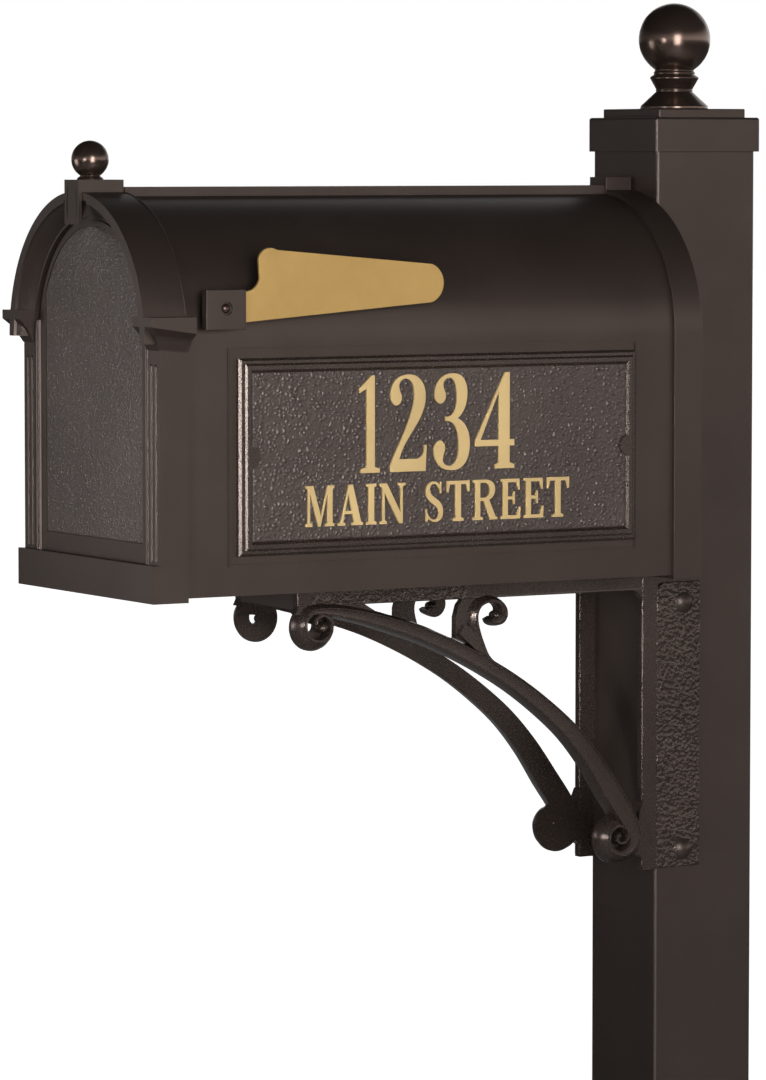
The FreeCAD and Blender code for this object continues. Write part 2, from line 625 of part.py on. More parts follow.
def moulding(radii_depths):
    """Sweep a section of the arch half-way round its centre; entries are points or arc middles."""
    height = size("arch_centre")
    edges = []
    start = Vector(radii_depths[0][0], radii_depths[0][1], height)
    first = start
    for entry in radii_depths[1:]:
        end = Vector(entry[-2], entry[-1], height)
        if len(entry) == 4:
            edges.append(Part.Arc(start, Vector(entry[0], entry[1], height), end).toShape())
        else:
            edges.append(Part.LineSegment(start, end).toShape())
        start = end
    edges.append(Part.LineSegment(start, first).toShape())
    face = Part.Face(Part.Wire(edges))
    return face.revolve(Vector(0, 0, height), Vector(0, -1, 0), 180)


def make_hood():
    """Hood of the door: outer rim, a quirk, a roll that runs into a cove, as one swept section."""
    outer, wall = size("casting_half"), size("casting_half") - size("casting_wall")
    front, inner, rear = size("hood_front"), size("door_inner"), size("door_rear")
    rim, roll_out, roll_in = size("rim_inner"), size("roll_outer"), size("roll_inner")
    cove, panel = size("cove_inner"), size("door_panel")
    section = [(outer, rear), (outer, front), (rim, front), (roll_out, front + 2.2),
               (roll_out - 2.4, front + 4.0, roll_in, front + 9.0),
               (roll_in - 1.8, front + 12.4, cove, panel - 0.8),
               (cove, inner), (wall, inner), (wall, rear)]
    return shaped("door_hood", moulding(section))


def corbel_shape(side):
    """Bracket-like block at the spring of the arch, tapering down to the flank of the casting."""
    inner, outer, flank = size("pilaster_inner"), size("corbel_half"), size("casting_half")
    front, rear, top = size("hood_front"), size("door_rear") + 0.7, size("corbel_top")
    edge_front = top - size("corbel_edge")
    edge_rear = edge_front - size("corbel_slope")
    bottom = size("corbel_bottom")
    low_front = size("pilaster_front") - 0.8

    def ring(points):
        corners = [Vector(side * x, y, z) for x, y, z in points]
        return Part.makePolygon(corners + corners[:1])
    upper = ring([(inner, front, top), (outer, front, top), (outer, rear, top), (inner, rear, top)])
    middle = ring([(inner, front, edge_front), (outer, front, edge_front),
                   (outer, rear, edge_rear), (inner, rear, edge_rear)])
    waist = ring([(inner, front + 6.5, edge_front - 7.5), (flank + 5.2, front + 6.5, edge_front - 7.5),
                  (flank + 5.2, rear, edge_rear - 6.0), (inner, rear, edge_rear - 6.0)])
    lower = ring([(inner, low_front, bottom), (flank, low_front, bottom),
                  (flank, rear - 0.7, bottom - 2.6), (inner, rear - 0.7, bottom - 2.6)])
    levels = ((upper, middle), (middle, waist), (waist, lower))
    solids = [Part.makeLoft([a, b], True, True) for a, b in levels]
    return solids[0].multiFuse(solids[1:]).removeSplitter()


def make_door():
    """Door casting: tray, panel, pilasters, base band, corbels, hood and the pull's finger pocket."""
    wall_half = "casting_half - casting_wall"
    tray = cut("door_tray",
               arch_prism("tray_outside", "casting_half", "casting_bottom", ("pilaster_front", "door_rear")),
               arch_prism("tray_face", "pilaster_inner", "band_top - 2", ("pilaster_front", "door_panel")),
               box("sill_gap", ("-1 * casting_half + casting_wall", wall_half), ("sill_rear", "door_rear"),
                   ("casting_bottom", "casting_bottom + 10")))
    band = box("base_band", ("-1 * casting_half", "casting_half"), ("band_front", "door_inner"),
               ("casting_bottom", "band_top"))
    parts = [tray, band, make_hood()]
    cuts = [box("finger_pocket", ("-1 * pocket_half", "pocket_half"), ("hood_front - 1", "door_panel"),
                ("pocket_bottom", "pocket_top")),
            arch_prism("shell_room", wall_half, "casting_bottom + casting_wall",
                       ("door_inner", "door_rear + 2"))]
    for name, side in SIDES.items():
        sign = "%d * " % side
        parts.append(shaped("corbel_" + name, corbel_shape(side)))
        parts.append(cylinder("bead_" + name, "z", "bead_radius", "band_top - 1",
                              "corbel_bottom - band_top + 20", x=sign + "bead_offset", y="door_panel"))
        for place in ("first", "second"):
            flute = cylinder("flute_%s_%s" % (place, name), "z", "flute_radius", "flute_bottom",
                             "flute_top - flute_bottom", x=sign + "flute_" + place, y="pilaster_front")
            tip = doc.addObject("Part::Sphere", "flute_tip_%s_%s" % (place, name))
            bind(tip, Radius="flute_radius", x=sign + "flute_" + place, y="pilaster_front", z="flute_top")
            cuts += [flute, tip]
        cuts.append(cylinder("hinge_seat_" + name, "x", "pin_radius",
                             "pin_inner" if side > 0 else "-1 * pin_outer", "pin_outer - pin_inner",
                             y="hinge_depth", z="hinge_height"))
    low, high = size("groove_inner"), size("cove_inner")
    depth, front = size("groove_depth"), size("door_panel")
    groove = moulding([(high, front - 1), (high, front + depth), (low, front + depth), (low, front - 1)])
    cuts.append(shaped("arch_groove", groove))
    sunk = ("door_panel - 1", "door_panel + field_recess")
    field_arch = arch_prism("field_arch", "field_radius", "field_bottom", sunk)
    field_span = box("field_span", ("-1 * field_half", "field_half"), sunk,
                     ("field_bottom", "arch_centre + field_radius + 1"))
    cuts.append(common("door_field", field_arch, field_span))
    inner = size("door_inner")
    screw_holes = [rod("y", PULL_SCREW, size("hood_front"), inner, centre) for centre in PULL_SCREWS]
    strike_holes = [rod("y", STRIKE_RIVET, inner - 2, inner, centre) for centre in STRIKE_RIVETS]
    cuts.append(shaped("door_screw_holes", Part.makeCompound(screw_holes + strike_holes)))
    node("door", cut("door", fuse("door_solid", *parts), *cuts))


def make_pull():
    """Keystone pull with the block behind it that carries the small ball."""
    span = ("-1 * key_half", "key_half")
    bar = box("key_bar", span, ("key_front", "hood_front"), ("key_bottom", "key_top"))
    block = box("key_block", span, ("hood_front", "key_rear"), ("arch_centre + 115", "key_top"))
    face = box("key_face", ("-1 * key_half + key_border", "key_half - key_border"),
               ("key_front", "key_front + key_recess"),
               ("key_bottom + key_border + 1", "key_top - key_border - 2"))
    hood = cylinder("key_saddle", "y", "casting_half", "hood_front", "key_rear - hood_front",
                    z="arch_centre")
    front, depth = size("hood_front"), size("knob_depth")
    screw_holes = [rod("y", PULL_SCREW, front - 1.5, front, centre) for centre in PULL_SCREWS]
    stud_hole = rod("z", KNOB_STUD, size("key_top") - 5, size("key_top"), (0, depth, 0))
    holes = shaped("key_holes", Part.makeCompound(screw_holes + [stud_hole]))
    node("keystone_pull", cut("keystone_pull", fuse("key_solid", bar, block), face, hood, holes))
    inner = size("door_inner")
    screws = []
    for centre in PULL_SCREWS:
        shank = rod("y", PULL_SCREW, front - 1.5, inner, centre)
        head = rod("y", PULL_SCREW + 0.85, inner, inner + 1.2, centre)
        screws.append(shank.fuse(head).removeSplitter())
    group("pull_screws", screws)


def make_hinge_and_catch():
    """Hinge pins of the door, and the magnetic catch at its top."""
    for name, side in SIDES.items():
        start = "pin_inner" if side > 0 else "-1 * pin_outer"
        head_start = "pin_inner" if side > 0 else "-1 * pin_inner - 2.7"
        shank = cylinder("pin_shank_" + name, "x", "pin_radius", start, "pin_outer - pin_inner",
                         y="hinge_depth", z="hinge_height")
        head = cylinder("pin_head_" + name, "x", "pin_head", head_start, "2.7",
                        y="hinge_depth", z="hinge_height")
        node("hinge_pin_" + name, fuse("hinge_pin_" + name, shank, head))
    span = ("-1 * catch_half", "catch_half")
    upright = box("catch_upright", span, ("catch_front", "catch_front + catch_thick"),
                  ("catch_bottom", "arch_centre + 116"))
    tongue = box("catch_tongue", span, ("catch_front", "catch_rear"),
                 ("arch_centre + 111", "arch_centre + 116"))
    under = cylinder("catch_round", "y", "shell_half - shell_thick", "catch_front - 1",
                     "catch_rear - catch_front + 2", z="arch_centre")
    rear = size("catch_rear") + 6
    crown = size("arch_centre") + size("shell_half")
    holes = [rod("z", FASTENER, crown - 12, crown + 2, (x, rear, 0)) for x in CATCH_RIVETS]
    bracket = common("catch_solid", fuse("catch_angle", upright, tongue), under)
    node("catch_bracket", cut("catch_bracket", bracket, shaped("catch_holes", Part.makeCompound(holes))))
    low = size("arch_centre") + 111
    seat = Part.makeCylinder(size("shell_half"), 20, Vector(0, rear - 10, size("arch_centre")),
                             Vector(0, 1, 0))
    rivets = [rod("z", FASTENER, low - 0.1, crown + 2, (x, rear, 0)).common(seat).fuse(
        dome("z", -1, RIVET_HEAD, RIVET_DOME, low - 0.1, (x, rear, 0))) for x in CATCH_RIVETS]
    group("catch_rivets", rivets)
    node("catch_magnet", box("catch_magnet", ("-1 * magnet_half", "magnet_half"),
                             ("magnet_front", "catch_front"), ("catch_bottom + 2", "catch_bottom + 14")))
    plate = box("strike_sheet", ("-1 * strike_half", "strike_half"), ("door_inner", "door_inner + 1"),
                ("catch_bottom - 2", "catch_bottom + 18"))
    inner = size("door_inner")
    holes = [rod("y", STRIKE_RIVET, inner, inner + 1, centre) for centre in STRIKE_RIVETS]
    node("strike_plate", cut("strike_plate", plate, shaped("strike_holes", Part.makeCompound(holes))))
    rivets = [rod("y", STRIKE_RIVET, inner - 2, inner + 1, centre).fuse(
        dome("y", 1, 2.4, 0.6, inner + 1, centre)) for centre in STRIKE_RIVETS]
    group("strike_rivets", rivets)


# ----------------------------------------------------------------------------------- the brackets

ARM_TOP = [(-392.0, 1048.5), (-317.7, 1037.7), (-222.3, 999.0), (-136.4, 937.8), (-86.8, 881.5),
           (-70.0, 846.0)]
ARM_BOTTOM = [(-97.5, 862.0), (-140.9, 919.7), (-213.4, 976.6), (-281.6, 1014.3), (-347.7, 1035.7),
              (-384.0, 1039.5)]
STEM_FRONT = [(-257.5, 1018.0), (-254.5, 1038.0), (-244.0, 1051.5)]
STEM_REAR = [(-222.0, 1051.5), (-232.5, 1038.0), (-230.3, 1012.0), (-214.0, 992.0)]


def ribbon(outline_a, outline_b, low, high):
    """A flat bar between two smooth edges, lying in the plane of the bracket."""
    curves = []
    for outline in (outline_a, outline_b):
        spline = Part.BSplineCurve()
        spline.interpolate([Vector(low, y, z) for y, z in outline])
        curves.append(spline.toShape())
    ends = [Part.LineSegment(Vector(low, *outline_a[-1]), Vector(low, *outline_b[0])).toShape(),
            Part.LineSegment(Vector(low, *outline_b[-1]), Vector(low, *outline_a[0])).toShape()]
    face = Part.Face(Part.Wire([curves[0], ends[0], curves[1], ends[1]]))
    return face.extrude(Vector(high - low, 0, 0))


def volute(depth, height, radius, low, high):
    """A scroll's round end: a disc with a ring-shaped channel round its eye."""
    centre = (0, depth, height)
    disc = rod("x", radius, low, high, centre)
    ring = rod("x", radius * 0.72, high, high - math.copysign(9, high), centre).cut(
        rod("x", radius * 0.36, high, high - math.copysign(9, high), centre))
    return disc.cut(ring)


def make_bracket(name, side):
    """Scrolled bracket casting: shelf, leg, cheek on the post's flank, arm and three volutes."""
    inner, outer, proud = (side * size(a) for a in ("web_inner", "web_outer", "scroll_outer"))
    web = sorted((inner, outer))
    leg_front, face = size("leg_front"), -size("post_width") / 2
    shelf = Part.makeBox(web[1] - web[0], face - size("shelf_front"),
                         size("shelf_top") - size("shelf_bottom"),
                         Vector(web[0], size("shelf_front"), size("shelf_bottom")))
    leg = Part.makeBox(web[1] - web[0], face - leg_front, size("shelf_top") - size("leg_bottom"),
                       Vector(web[0], leg_front, size("leg_bottom")))
    flank = size("post_width") / 2
    cheek_span = sorted((side * flank, outer))
    cheek = Part.makeBox(cheek_span[1] - cheek_span[0], size("cheek_rear") - face,
                         size("cheek_top") - size("cheek_bottom"),
                         Vector(cheek_span[0], face, size("cheek_bottom")))
    corner_edges = [e for e in cheek.Edges if is_along(Vector(1, 0, 0))(e)
                    and e.CenterOfMass.z > size("cheek_top") - 1 and e.CenterOfMass.y > face + 1]
    cheek = cheek.makeFillet(size("cheek_corner") / 2, corner_edges)
    low, high = inner, proud
    pieces = [leg, cheek, ribbon(ARM_TOP, ARM_BOTTOM, low, high), ribbon(STEM_FRONT, STEM_REAR, low, high)]
    pieces.append(volute(size("front_volute_depth"), size("front_volute_height"),
                         size("volute_radius"), low, high))
    pieces.append(volute(size("lower_volute_depth"), size("lower_volute_height"),
                         size("lower_volute_radius"), low, high))
    pieces.append(volute(size("curl_depth"), size("curl_height"), size("curl_radius"), low, high))
    solid = shelf.multiFuse(pieces).removeSplitter()
    for height in ("cheek_bolt_high", "cheek_bolt_low"):
        centre = (0, size("cheek_bolt_depth"), size(height))
        solid = solid.cut(rod("x", size("bolt_hole"), side * (flank - 1), side * 70, centre))
    above = Part.makeBox(200, 900, 60, Vector(-100, -800, size("shelf_top")))
    node("bracket_" + name, shaped("bracket_" + name, solid.cut(above)))


def make_bracket_bolts():
    """Round-headed bolts through the cheeks and the post wall, with nuts inside the post."""
    bolts, nuts = [], []
    wall = size("post_width") / 2 - size("post_wall")
    for side in SIDES.values():
        for height in ("cheek_bolt_high", "cheek_bolt_low"):
            centre = (0, size("cheek_bolt_depth"), size(height))
            head = dome("x", side, size("bolt_head"), size("bolt_dome"), side * size("web_outer"), centre)
            shank = rod("x", size("bolt_radius"), side * (wall - 11), side * size("web_outer"), centre)
            bolts.append(shank.fuse(head))
            nuts.append(hexagon("x", 13.0, side * (wall - 6.5), side * wall, centre, size("bolt_radius")))
    group("bracket_bolts", bolts)
    group("bracket_nuts", nuts)


def make_plate():
    """Plate that ties the brackets under the floor, with a turned-down front lip."""
    body = new_body("mounting_plate")
    top = new_sketch(body, "plate_top", "XY_Plane", "shelf_top")
    rectangle(top, ("-1 * web_outer", "web_outer"), ("shelf_front", "plate_rear"))
    for x, y in FLOOR_SCREWS:
        circle(top, str(x), str(y), str(SCREW_M6 + 0.2))
    pad(body, top, "plate_thick")
    lip = new_sketch(body, "plate_lip", "XY_Plane", "lip_bottom")
    rectangle(lip, ("-1 * web_inner", "web_inner"), ("lip_front", "lip_front + plate_thick"))
    pad(body, lip, "shelf_top - lip_bottom")
    floor_top = size("shell_bottom") + size("floor_thick")
    under = size("shelf_top")
    screws, nuts = [], []
    for x, y in FLOOR_SCREWS:
        centre = (x, y, 0)
        screws.append(rod("z", SCREW_M6, under - 9, floor_top, centre).fuse(
            dome("z", 1, SCREW_HEAD, SCREW_DOME, floor_top, centre)))
        nuts.append(hexagon("z", 10.0, under - 5, under, centre, SCREW_M6))
    group("floor_screws", screws)
    group("floor_nuts", nuts)


# ------------------------------------------------------------------------------- plaque and flag

GLYPHS = {
    # outlines on a unit grid, x to the right and y up; the first loop is the outside, others are counters
    "1": [[("line", (0.12, 0.0), (0.88, 0.0), (0.88, 0.04), (0.68, 0.06), (0.68, 1.0), (0.56, 1.0),
            (0.08, 0.87), (0.08, 0.82), (0.36, 0.865), (0.36, 0.06), (0.12, 0.04))]],
    "2": [[("line", (0.03, 0.0), (0.97, 0.0), (1.0, 0.27), (0.93, 0.27)),
           ("curve", (0.93, 0.27), (0.88, 0.165), (0.74, 0.13)),
           ("line", (0.74, 0.13), (0.27, 0.13)),
           ("curve", (0.27, 0.13), (0.55, 0.37), (0.88, 0.6), (0.97, 0.76), (0.88, 0.92), (0.68, 0.99),
            (0.48, 1.0), (0.24, 0.97), (0.08, 0.88), (0.04, 0.78), (0.09, 0.71), (0.19, 0.685), (0.3, 0.71),
            (0.335, 0.775), (0.28, 0.845), (0.27, 0.9), (0.34, 0.945), (0.46, 0.96), (0.6, 0.92),
            (0.665, 0.82), (0.66, 0.73), (0.55, 0.56), (0.32, 0.33), (0.1, 0.14), (0.03, 0.06))]],
    "3": [[("curve", (0.05, 0.8), (0.11, 0.9), (0.27, 0.975), (0.5, 1.0), (0.74, 0.98), (0.89, 0.89),
            (0.92, 0.77), (0.84, 0.63), (0.66, 0.535)),
           ("curve", (0.66, 0.535), (0.87, 0.46), (0.98, 0.33), (0.98, 0.21), (0.88, 0.08), (0.68, 0.01),
            (0.46, 0.0), (0.22, 0.03), (0.06, 0.12), (0.02, 0.21), (0.07, 0.28), (0.18, 0.31), (0.29, 0.28),
            (0.32, 0.21), (0.27, 0.14), (0.28, 0.08), (0.42, 0.045), (0.57, 0.07), (0.67, 0.15),
            (0.69, 0.27), (0.65, 0.4), (0.53, 0.485), (0.34, 0.51)),
           ("line", (0.34, 0.51), (0.34, 0.555)),
           ("curve", (0.34, 0.555), (0.52, 0.58), (0.62, 0.66), (0.64, 0.78), (0.6, 0.89), (0.48, 0.955),
            (0.35, 0.945), (0.28, 0.9), (0.29, 0.85), (0.34, 0.79), (0.31, 0.72), (0.2, 0.69), (0.09, 0.72),
            (0.05, 0.8))]],
    "4": [[("line", (0.5, 0.0), (1.0, 0.0), (1.0, 0.04), (0.88, 0.06), (0.88, 0.235), (1.0, 0.235),
            (1.0, 0.3), (0.88, 0.3), (0.88, 1.0), (0.76, 1.0), (0.0, 0.3), (0.0, 0.235), (0.6, 0.235),
            (0.6, 0.06), (0.5, 0.04))],
          [("line", (0.6, 0.3), (0.6, 0.8), (0.13, 0.3))]],
    "M": [[("line", (0.0, 0.0), (0.24, 0.0), (0.24, 0.06), (0.16, 0.09), (0.16, 0.8), (0.44, 0.0),
            (0.52, 0.0), (0.76, 0.78), (0.76, 0.09), (0.68, 0.06), (0.68, 0.0), (1.0, 0.0), (1.0, 0.06),
            (0.94, 0.09), (0.94, 0.91), (1.0, 0.94), (1.0, 1.0), (0.77, 1.0), (0.53, 0.26), (0.27, 1.0),
            (0.0, 1.0), (0.0, 0.94), (0.08, 0.91), (0.08, 0.09), (0.0, 0.06))]],
    "A": [[("line", (0.0, 0.0), (0.3, 0.0), (0.3, 0.06), (0.21, 0.08), (0.27, 0.28), (0.58, 0.28),
            (0.64, 0.08), (0.55, 0.06), (0.55, 0.0), (1.0, 0.0), (1.0, 0.06), (0.92, 0.08), (0.6, 1.0),
            (0.44, 1.0), (0.12, 0.08), (0.0, 0.06))],
          [("line", (0.3, 0.36), (0.425, 0.77), (0.55, 0.36))]],
    "I": [[("line", (0.0, 0.0), (1.0, 0.0), (1.0, 0.06), (0.78, 0.09), (0.78, 0.91), (1.0, 0.94),
            (1.0, 1.0), (0.0, 1.0), (0.0, 0.94), (0.22, 0.91), (0.22, 0.09), (0.0, 0.06))]],
    "N": [[("line", (0.0, 0.0), (0.27, 0.0), (0.27, 0.06), (0.19, 0.09), (0.19, 0.76), (0.74, 0.0),
            (0.88, 0.0), (0.88, 0.91), (0.98, 0.94), (0.98, 1.0), (0.7, 1.0), (0.7, 0.94), (0.79, 0.91),
            (0.79, 0.28), (0.27, 1.0), (0.0, 1.0), (0.0, 0.94), (0.1, 0.88), (0.1, 0.09), (0.0, 0.06))]],
    "S": [[("line", (0.78, 0.92), (0.82, 0.99), (0.88, 0.99), (0.88, 0.7), (0.8, 0.7)),
           ("curve", (0.8, 0.7), (0.7, 0.87), (0.5, 0.94), (0.32, 0.9), (0.27, 0.79), (0.36, 0.68),
            (0.62, 0.57), (0.88, 0.44), (0.97, 0.27), (0.88, 0.08), (0.62, 0.0), (0.4, 0.01), (0.2, 0.08)),
           ("line", (0.2, 0.08), (0.12, 0.01), (0.05, 0.01), (0.05, 0.33), (0.13, 0.33)),
           ("curve", (0.13, 0.33), (0.24, 0.13), (0.48, 0.06), (0.68, 0.11), (0.74, 0.23), (0.64, 0.35),
            (0.38, 0.46), (0.14, 0.59), (0.05, 0.75), (0.14, 0.92), (0.38, 1.0), (0.6, 0.99),
            (0.78, 0.92))]],
    "T": [[("line", (0.0, 1.0), (0.0, 0.72), (0.07, 0.72), (0.14, 0.91), (0.38, 0.91), (0.38, 0.09),
            (0.26, 0.06), (0.26, 0.0), (0.74, 0.0), (0.74, 0.06), (0.62, 0.09), (0.62, 0.91), (0.86, 0.91),
            (0.93, 0.72), (1.0, 0.72), (1.0, 1.0))]],
    "R": [[("line", (0.5, 1.0), (0.0, 1.0), (0.0, 0.94), (0.1, 0.91), (0.1, 0.09), (0.0, 0.06), (0.0, 0.0),
            (0.4, 0.0), (0.4, 0.06), (0.3, 0.09), (0.3, 0.47), (0.44, 0.47), (0.7, 0.0), (1.0, 0.0),
            (1.0, 0.06), (0.92, 0.08), (0.66, 0.5)),
           ("curve", (0.66, 0.5), (0.82, 0.58), (0.9, 0.73), (0.84, 0.9), (0.68, 0.98), (0.5, 1.0))],
          [("line", (0.46, 0.55), (0.3, 0.55), (0.3, 0.92), (0.48, 0.92)),
           ("curve", (0.48, 0.92), (0.62, 0.88), (0.68, 0.74), (0.62, 0.6), (0.46, 0.55))]],
    "E": [[("line", (0.0, 0.0), (0.97, 0.0), (1.0, 0.3), (0.92, 0.3), (0.8, 0.09), (0.36, 0.09),
            (0.36, 0.48), (0.6, 0.48), (0.64, 0.36), (0.71, 0.36), (0.71, 0.68), (0.64, 0.68), (0.6, 0.56),
            (0.36, 0.56), (0.36, 0.91), (0.78, 0.91), (0.88, 0.72), (0.96, 0.72), (0.94, 1.0), (0.0, 1.0),
            (0.0, 0.94), (0.11, 0.91), (0.11, 0.09), (0.0, 0.06))]],
}


def glyph_loop(loop, left, right, low, high, face):
    """A flat face bounded by the straight and curved runs of one loop."""
    def place(point):
        return Vector(face, left + point[0] * (right - left), low + point[1] * (high - low))
    edges = []
    for kind, *points in loop:
        spots = [place(point) for point in points]
        if kind == "line":
            edges += [Part.LineSegment(a, b).toShape() for a, b in zip(spots, spots[1:])]
        else:
            curve = Part.BSplineCurve()
            curve.interpolate(spots)
            edges.append(curve.toShape())
    first, last = place(loop[0][1]), place(loop[-1][-1])
    if first.distanceToPoint(last) > 1e-6:
        edges.append(Part.LineSegment(last, first).toShape())
    return Part.Face(Part.Wire(edges))


def glyph(letter, left, right, low, high, face, proud):
    """One raised character that stands on the plaque's field."""
    outside, *counters = [glyph_loop(loop, left, right, low, high, face).extrude(Vector(proud, 0, 0))
                          for loop in GLYPHS[letter]]
    return outside.cut(Part.makeCompound(counters)) if counters else outside


NUMERALS = [("1", -393, -369), ("2", -363, -327), ("3", -321, -285), ("4", -280, -242)]
NUMERAL_ROWS = (1164.0, 1244.0)
WORDS = ["MAIN", "STREET"]
LETTER_WIDTHS = {"M": 27.0, "A": 24.0, "I": 9.5, "N": 25.0, "S": 18.0, "T": 22.0, "R": 24.0, "E": 19.5}
LETTER_ROWS = (1121.5, 1155.0)
LETTERS_START, LETTER_GAP, WORD_GAP = -442.0, 3.2, 15.0


def is_inside_rim(edge):
    """True for the edges of the plaque's recess rather than those of its rim."""
    return edge.BoundBox.YMin > size("plaque_front") + size("plaque_border") - 0.1 \
        and edge.BoundBox.YMax < size("plaque_rear") - size("plaque_border") + 0.1


def make_plaque():
    """Stepped plaque with a recessed field, its raised characters and its fixings."""
    body = new_body("address_plaque")
    outline = new_sketch(body, "plaque_outline", "YZ_Plane", "shell_half")
    rectangle(outline, ("plaque_front", "plaque_rear"), ("plaque_bottom", "plaque_top"))
    slab = pad(body, outline, "plaque_base")
    ledge = size("shell_half") + size("plaque_base")
    dressed(body, "Chamfer", "plaque_bevelled", slab, "plaque_bevel",
            lambda edge: edge.BoundBox.XMin > ledge - 0.01)
    rim = new_sketch(body, "plaque_rim", "YZ_Plane", "shell_half + plaque_base")
    inset = "plaque_bevel + plaque_inset"
    rectangle(rim, ("plaque_front + " + inset, "plaque_rear - plaque_bevel - plaque_inset"),
              ("plaque_bottom + " + inset, "plaque_top - plaque_bevel - plaque_inset"))
    raised = pad(body, rim, "plaque_step")
    outer = ledge + size("plaque_step")
    dressed(body, "Chamfer", "plaque_edged", raised, "plaque_edge",
            lambda edge: edge.BoundBox.XMin > outer - 0.01)
    floor = "shell_half + plaque_base + plaque_step - plaque_recess"
    field = new_sketch(body, "plaque_field", "YZ_Plane", floor)
    rectangle(field, ("plaque_front + plaque_border", "plaque_rear - plaque_border"),
              ("plaque_bottom + plaque_border", "plaque_top - plaque_border"))
    recess = pocket(body, field, "plaque_recess", reverse=True)
    dressed(body, "Chamfer", "plaque_drafted", recess, "plaque_draft",
            lambda edge: edge.BoundBox.XMin > outer - 0.01 and is_inside_rim(edge))
    boss = new_sketch(body, "plaque_bosses", "YZ_Plane", floor)
    middle = "plaque_bottom / 2 + plaque_top / 2"
    half_disc(boss, "plaque_front + plaque_border - plaque_draft - 0.2", middle, "boss_radius", 1)
    half_disc(boss, "plaque_rear - plaque_border + plaque_draft + 0.2", middle, "boss_radius", -1)
    pad(body, boss, "plaque_recess")
    holes = new_sketch(body, "plaque_stud_holes", "YZ_Plane", "shell_half")
    for y, z in PLAQUE_STUDS:
        circle(holes, str(y), str(z), str(FASTENER))
    pocket(body, holes, "2", reverse=True)
    inner = size("shell_half") - size("shell_thick")
    studs = [rod("x", FASTENER, inner - 4.5, size("shell_half") + 2, (0, y, z)) for y, z in PLAQUE_STUDS]
    group("plaque_studs", studs)
    nuts = [hexagon("x", 7.0, inner - 3, inner, (0, y, z), FASTENER) for y, z in PLAQUE_STUDS]
    group("plaque_nuts", nuts)
    face = outer - size("plaque_recess")
    proud = size("character_proud")
    group("address_numerals", [glyph(sign, left, right, *NUMERAL_ROWS, face, proud)
                               for sign, left, right in NUMERALS])
    letters = []
    left = LETTERS_START
    for word in WORDS:
        for letter in word:
            right = left + LETTER_WIDTHS[letter]
            letters.append(glyph(letter, left, right, *LETTER_ROWS, face, proud))
            left = right + LETTER_GAP
        left += WORD_GAP
    group("street_letters", letters)


BLADE_TOP = [(-500.6, 1314.5), (-495.0, 1315.6), (-490.4, 1319.2), (-487.6, 1324.4), (-488.2, 1336.0),
             (-485.8, 1345.8), (-480.2, 1348.2), (-471.9, 1347.7), (-325.7, 1334.9)]


def make_flag():
    """Flag: hub block, blade with a rounded tip, and the parts it turns on."""
    low, high = size("blade_inner"), size("blade_outer")
    tip = size("blade_tip")
    lower = Vector(low, -325.7, 1303.3)
    heel = Vector(low, size("hub_rear"), 1289.5)
    tab = [Vector(low, size("blade_tab"), 1289.5), Vector(low, size("blade_tab"), 1314.5)]
    top = [Vector(low, y, z) for y, z in BLADE_TOP]
    edges = [Part.LineSegment(tab[1], top[0]).toShape(),
             Part.Arc(top[0], top[2], top[3]).toShape(),
             Part.LineSegment(top[3], top[4]).toShape(),
             Part.Arc(top[4], top[5], top[7]).toShape(),
             Part.LineSegment(top[7], top[8]).toShape(),
             Part.Arc(top[8], Vector(low, tip, 1319.5), lower).toShape(),
             Part.LineSegment(lower, heel).toShape(),
             Part.LineSegment(heel, tab[0]).toShape(),
             Part.LineSegment(tab[0], tab[1]).toShape()]
    blade = Part.Face(Part.Wire(edges)).extrude(Vector(high - low, 0, 0))
    node("flag_blade", shaped("flag_blade", blade))
    hub = box("hub_block", ("hub_inner", "hub_outer"), ("hub_front", "hub_rear"), ("hub_bottom", "hub_top"))
    bore = cylinder("hub_bore", "x", "flag_screw + pin_clearance", "hub_inner", "hub_outer - hub_inner",
                    y="flag_depth", z="flag_height")
    seat = cylinder("hub_counterbore", "x", "flag_seat", "hub_outer - flag_sink", "flag_sink",
                    y="flag_depth", z="flag_height")
    node("flag_hub", cut("flag_hub", hub, bore, seat, shaped("blade_slot", blade.copy())))
    spacer = cylinder("spacer_rod", "x", "7", "shell_half / 2", "hub_inner - 1.1 - shell_half / 2",
                      y="flag_depth", z="flag_height")
    arch_round = cylinder("spacer_seat", "y", "shell_half", "flag_depth - 12", "24", z="arch_centre")
    hole = cylinder("spacer_hole", "x", "flag_screw + 0.2", "shell_half / 2", "shell_half",
                    y="flag_depth", z="flag_height")
    node("flag_spacer", cut("flag_spacer", spacer, arch_round, hole))
    washer = cylinder("washer_disc", "x", "6", "hub_inner - 1.1", "0.8", y="flag_depth", z="flag_height")
    washer_hole = cylinder("washer_hole", "x", "flag_screw + 0.2", "hub_inner - 2", "3",
                           y="flag_depth", z="flag_height")
    node("flag_washer", cut("flag_washer", washer, washer_hole))
    centre = (0, size("flag_depth"), size("flag_height"))
    face = size("hub_outer") - size("flag_sink")
    shank = rod("x", size("flag_screw"), 103.0, face, centre)
    head = dome("x", 1, size("flag_head"), 2.2, face, centre)
    socket = rod("x", 1.5, face + 1.0, face + 3.0, centre)
    node("flag_pivot_screw", shaped("flag_pivot_screw", shank.fuse(head).cut(socket)))
    nut = hexagon("x", 8.0, 105.0, 109.8, centre, size("flag_screw"))
    node("flag_nut", shaped("flag_nut", nut))


# ------------------------------------------------------------------------------- build and export

make_foot()
make_post()
make_cap()
make_finials()
make_shell()
make_floor()
make_rear_cap()
drill_post_front()
make_rail()
make_door()
make_pull()
make_hinge_and_catch()
for bracket_name, bracket_side in SIDES.items():
    make_bracket(bracket_name, bracket_side)
make_bracket_bolts()
make_plate()
make_plaque()
make_flag()
doc.recompute()

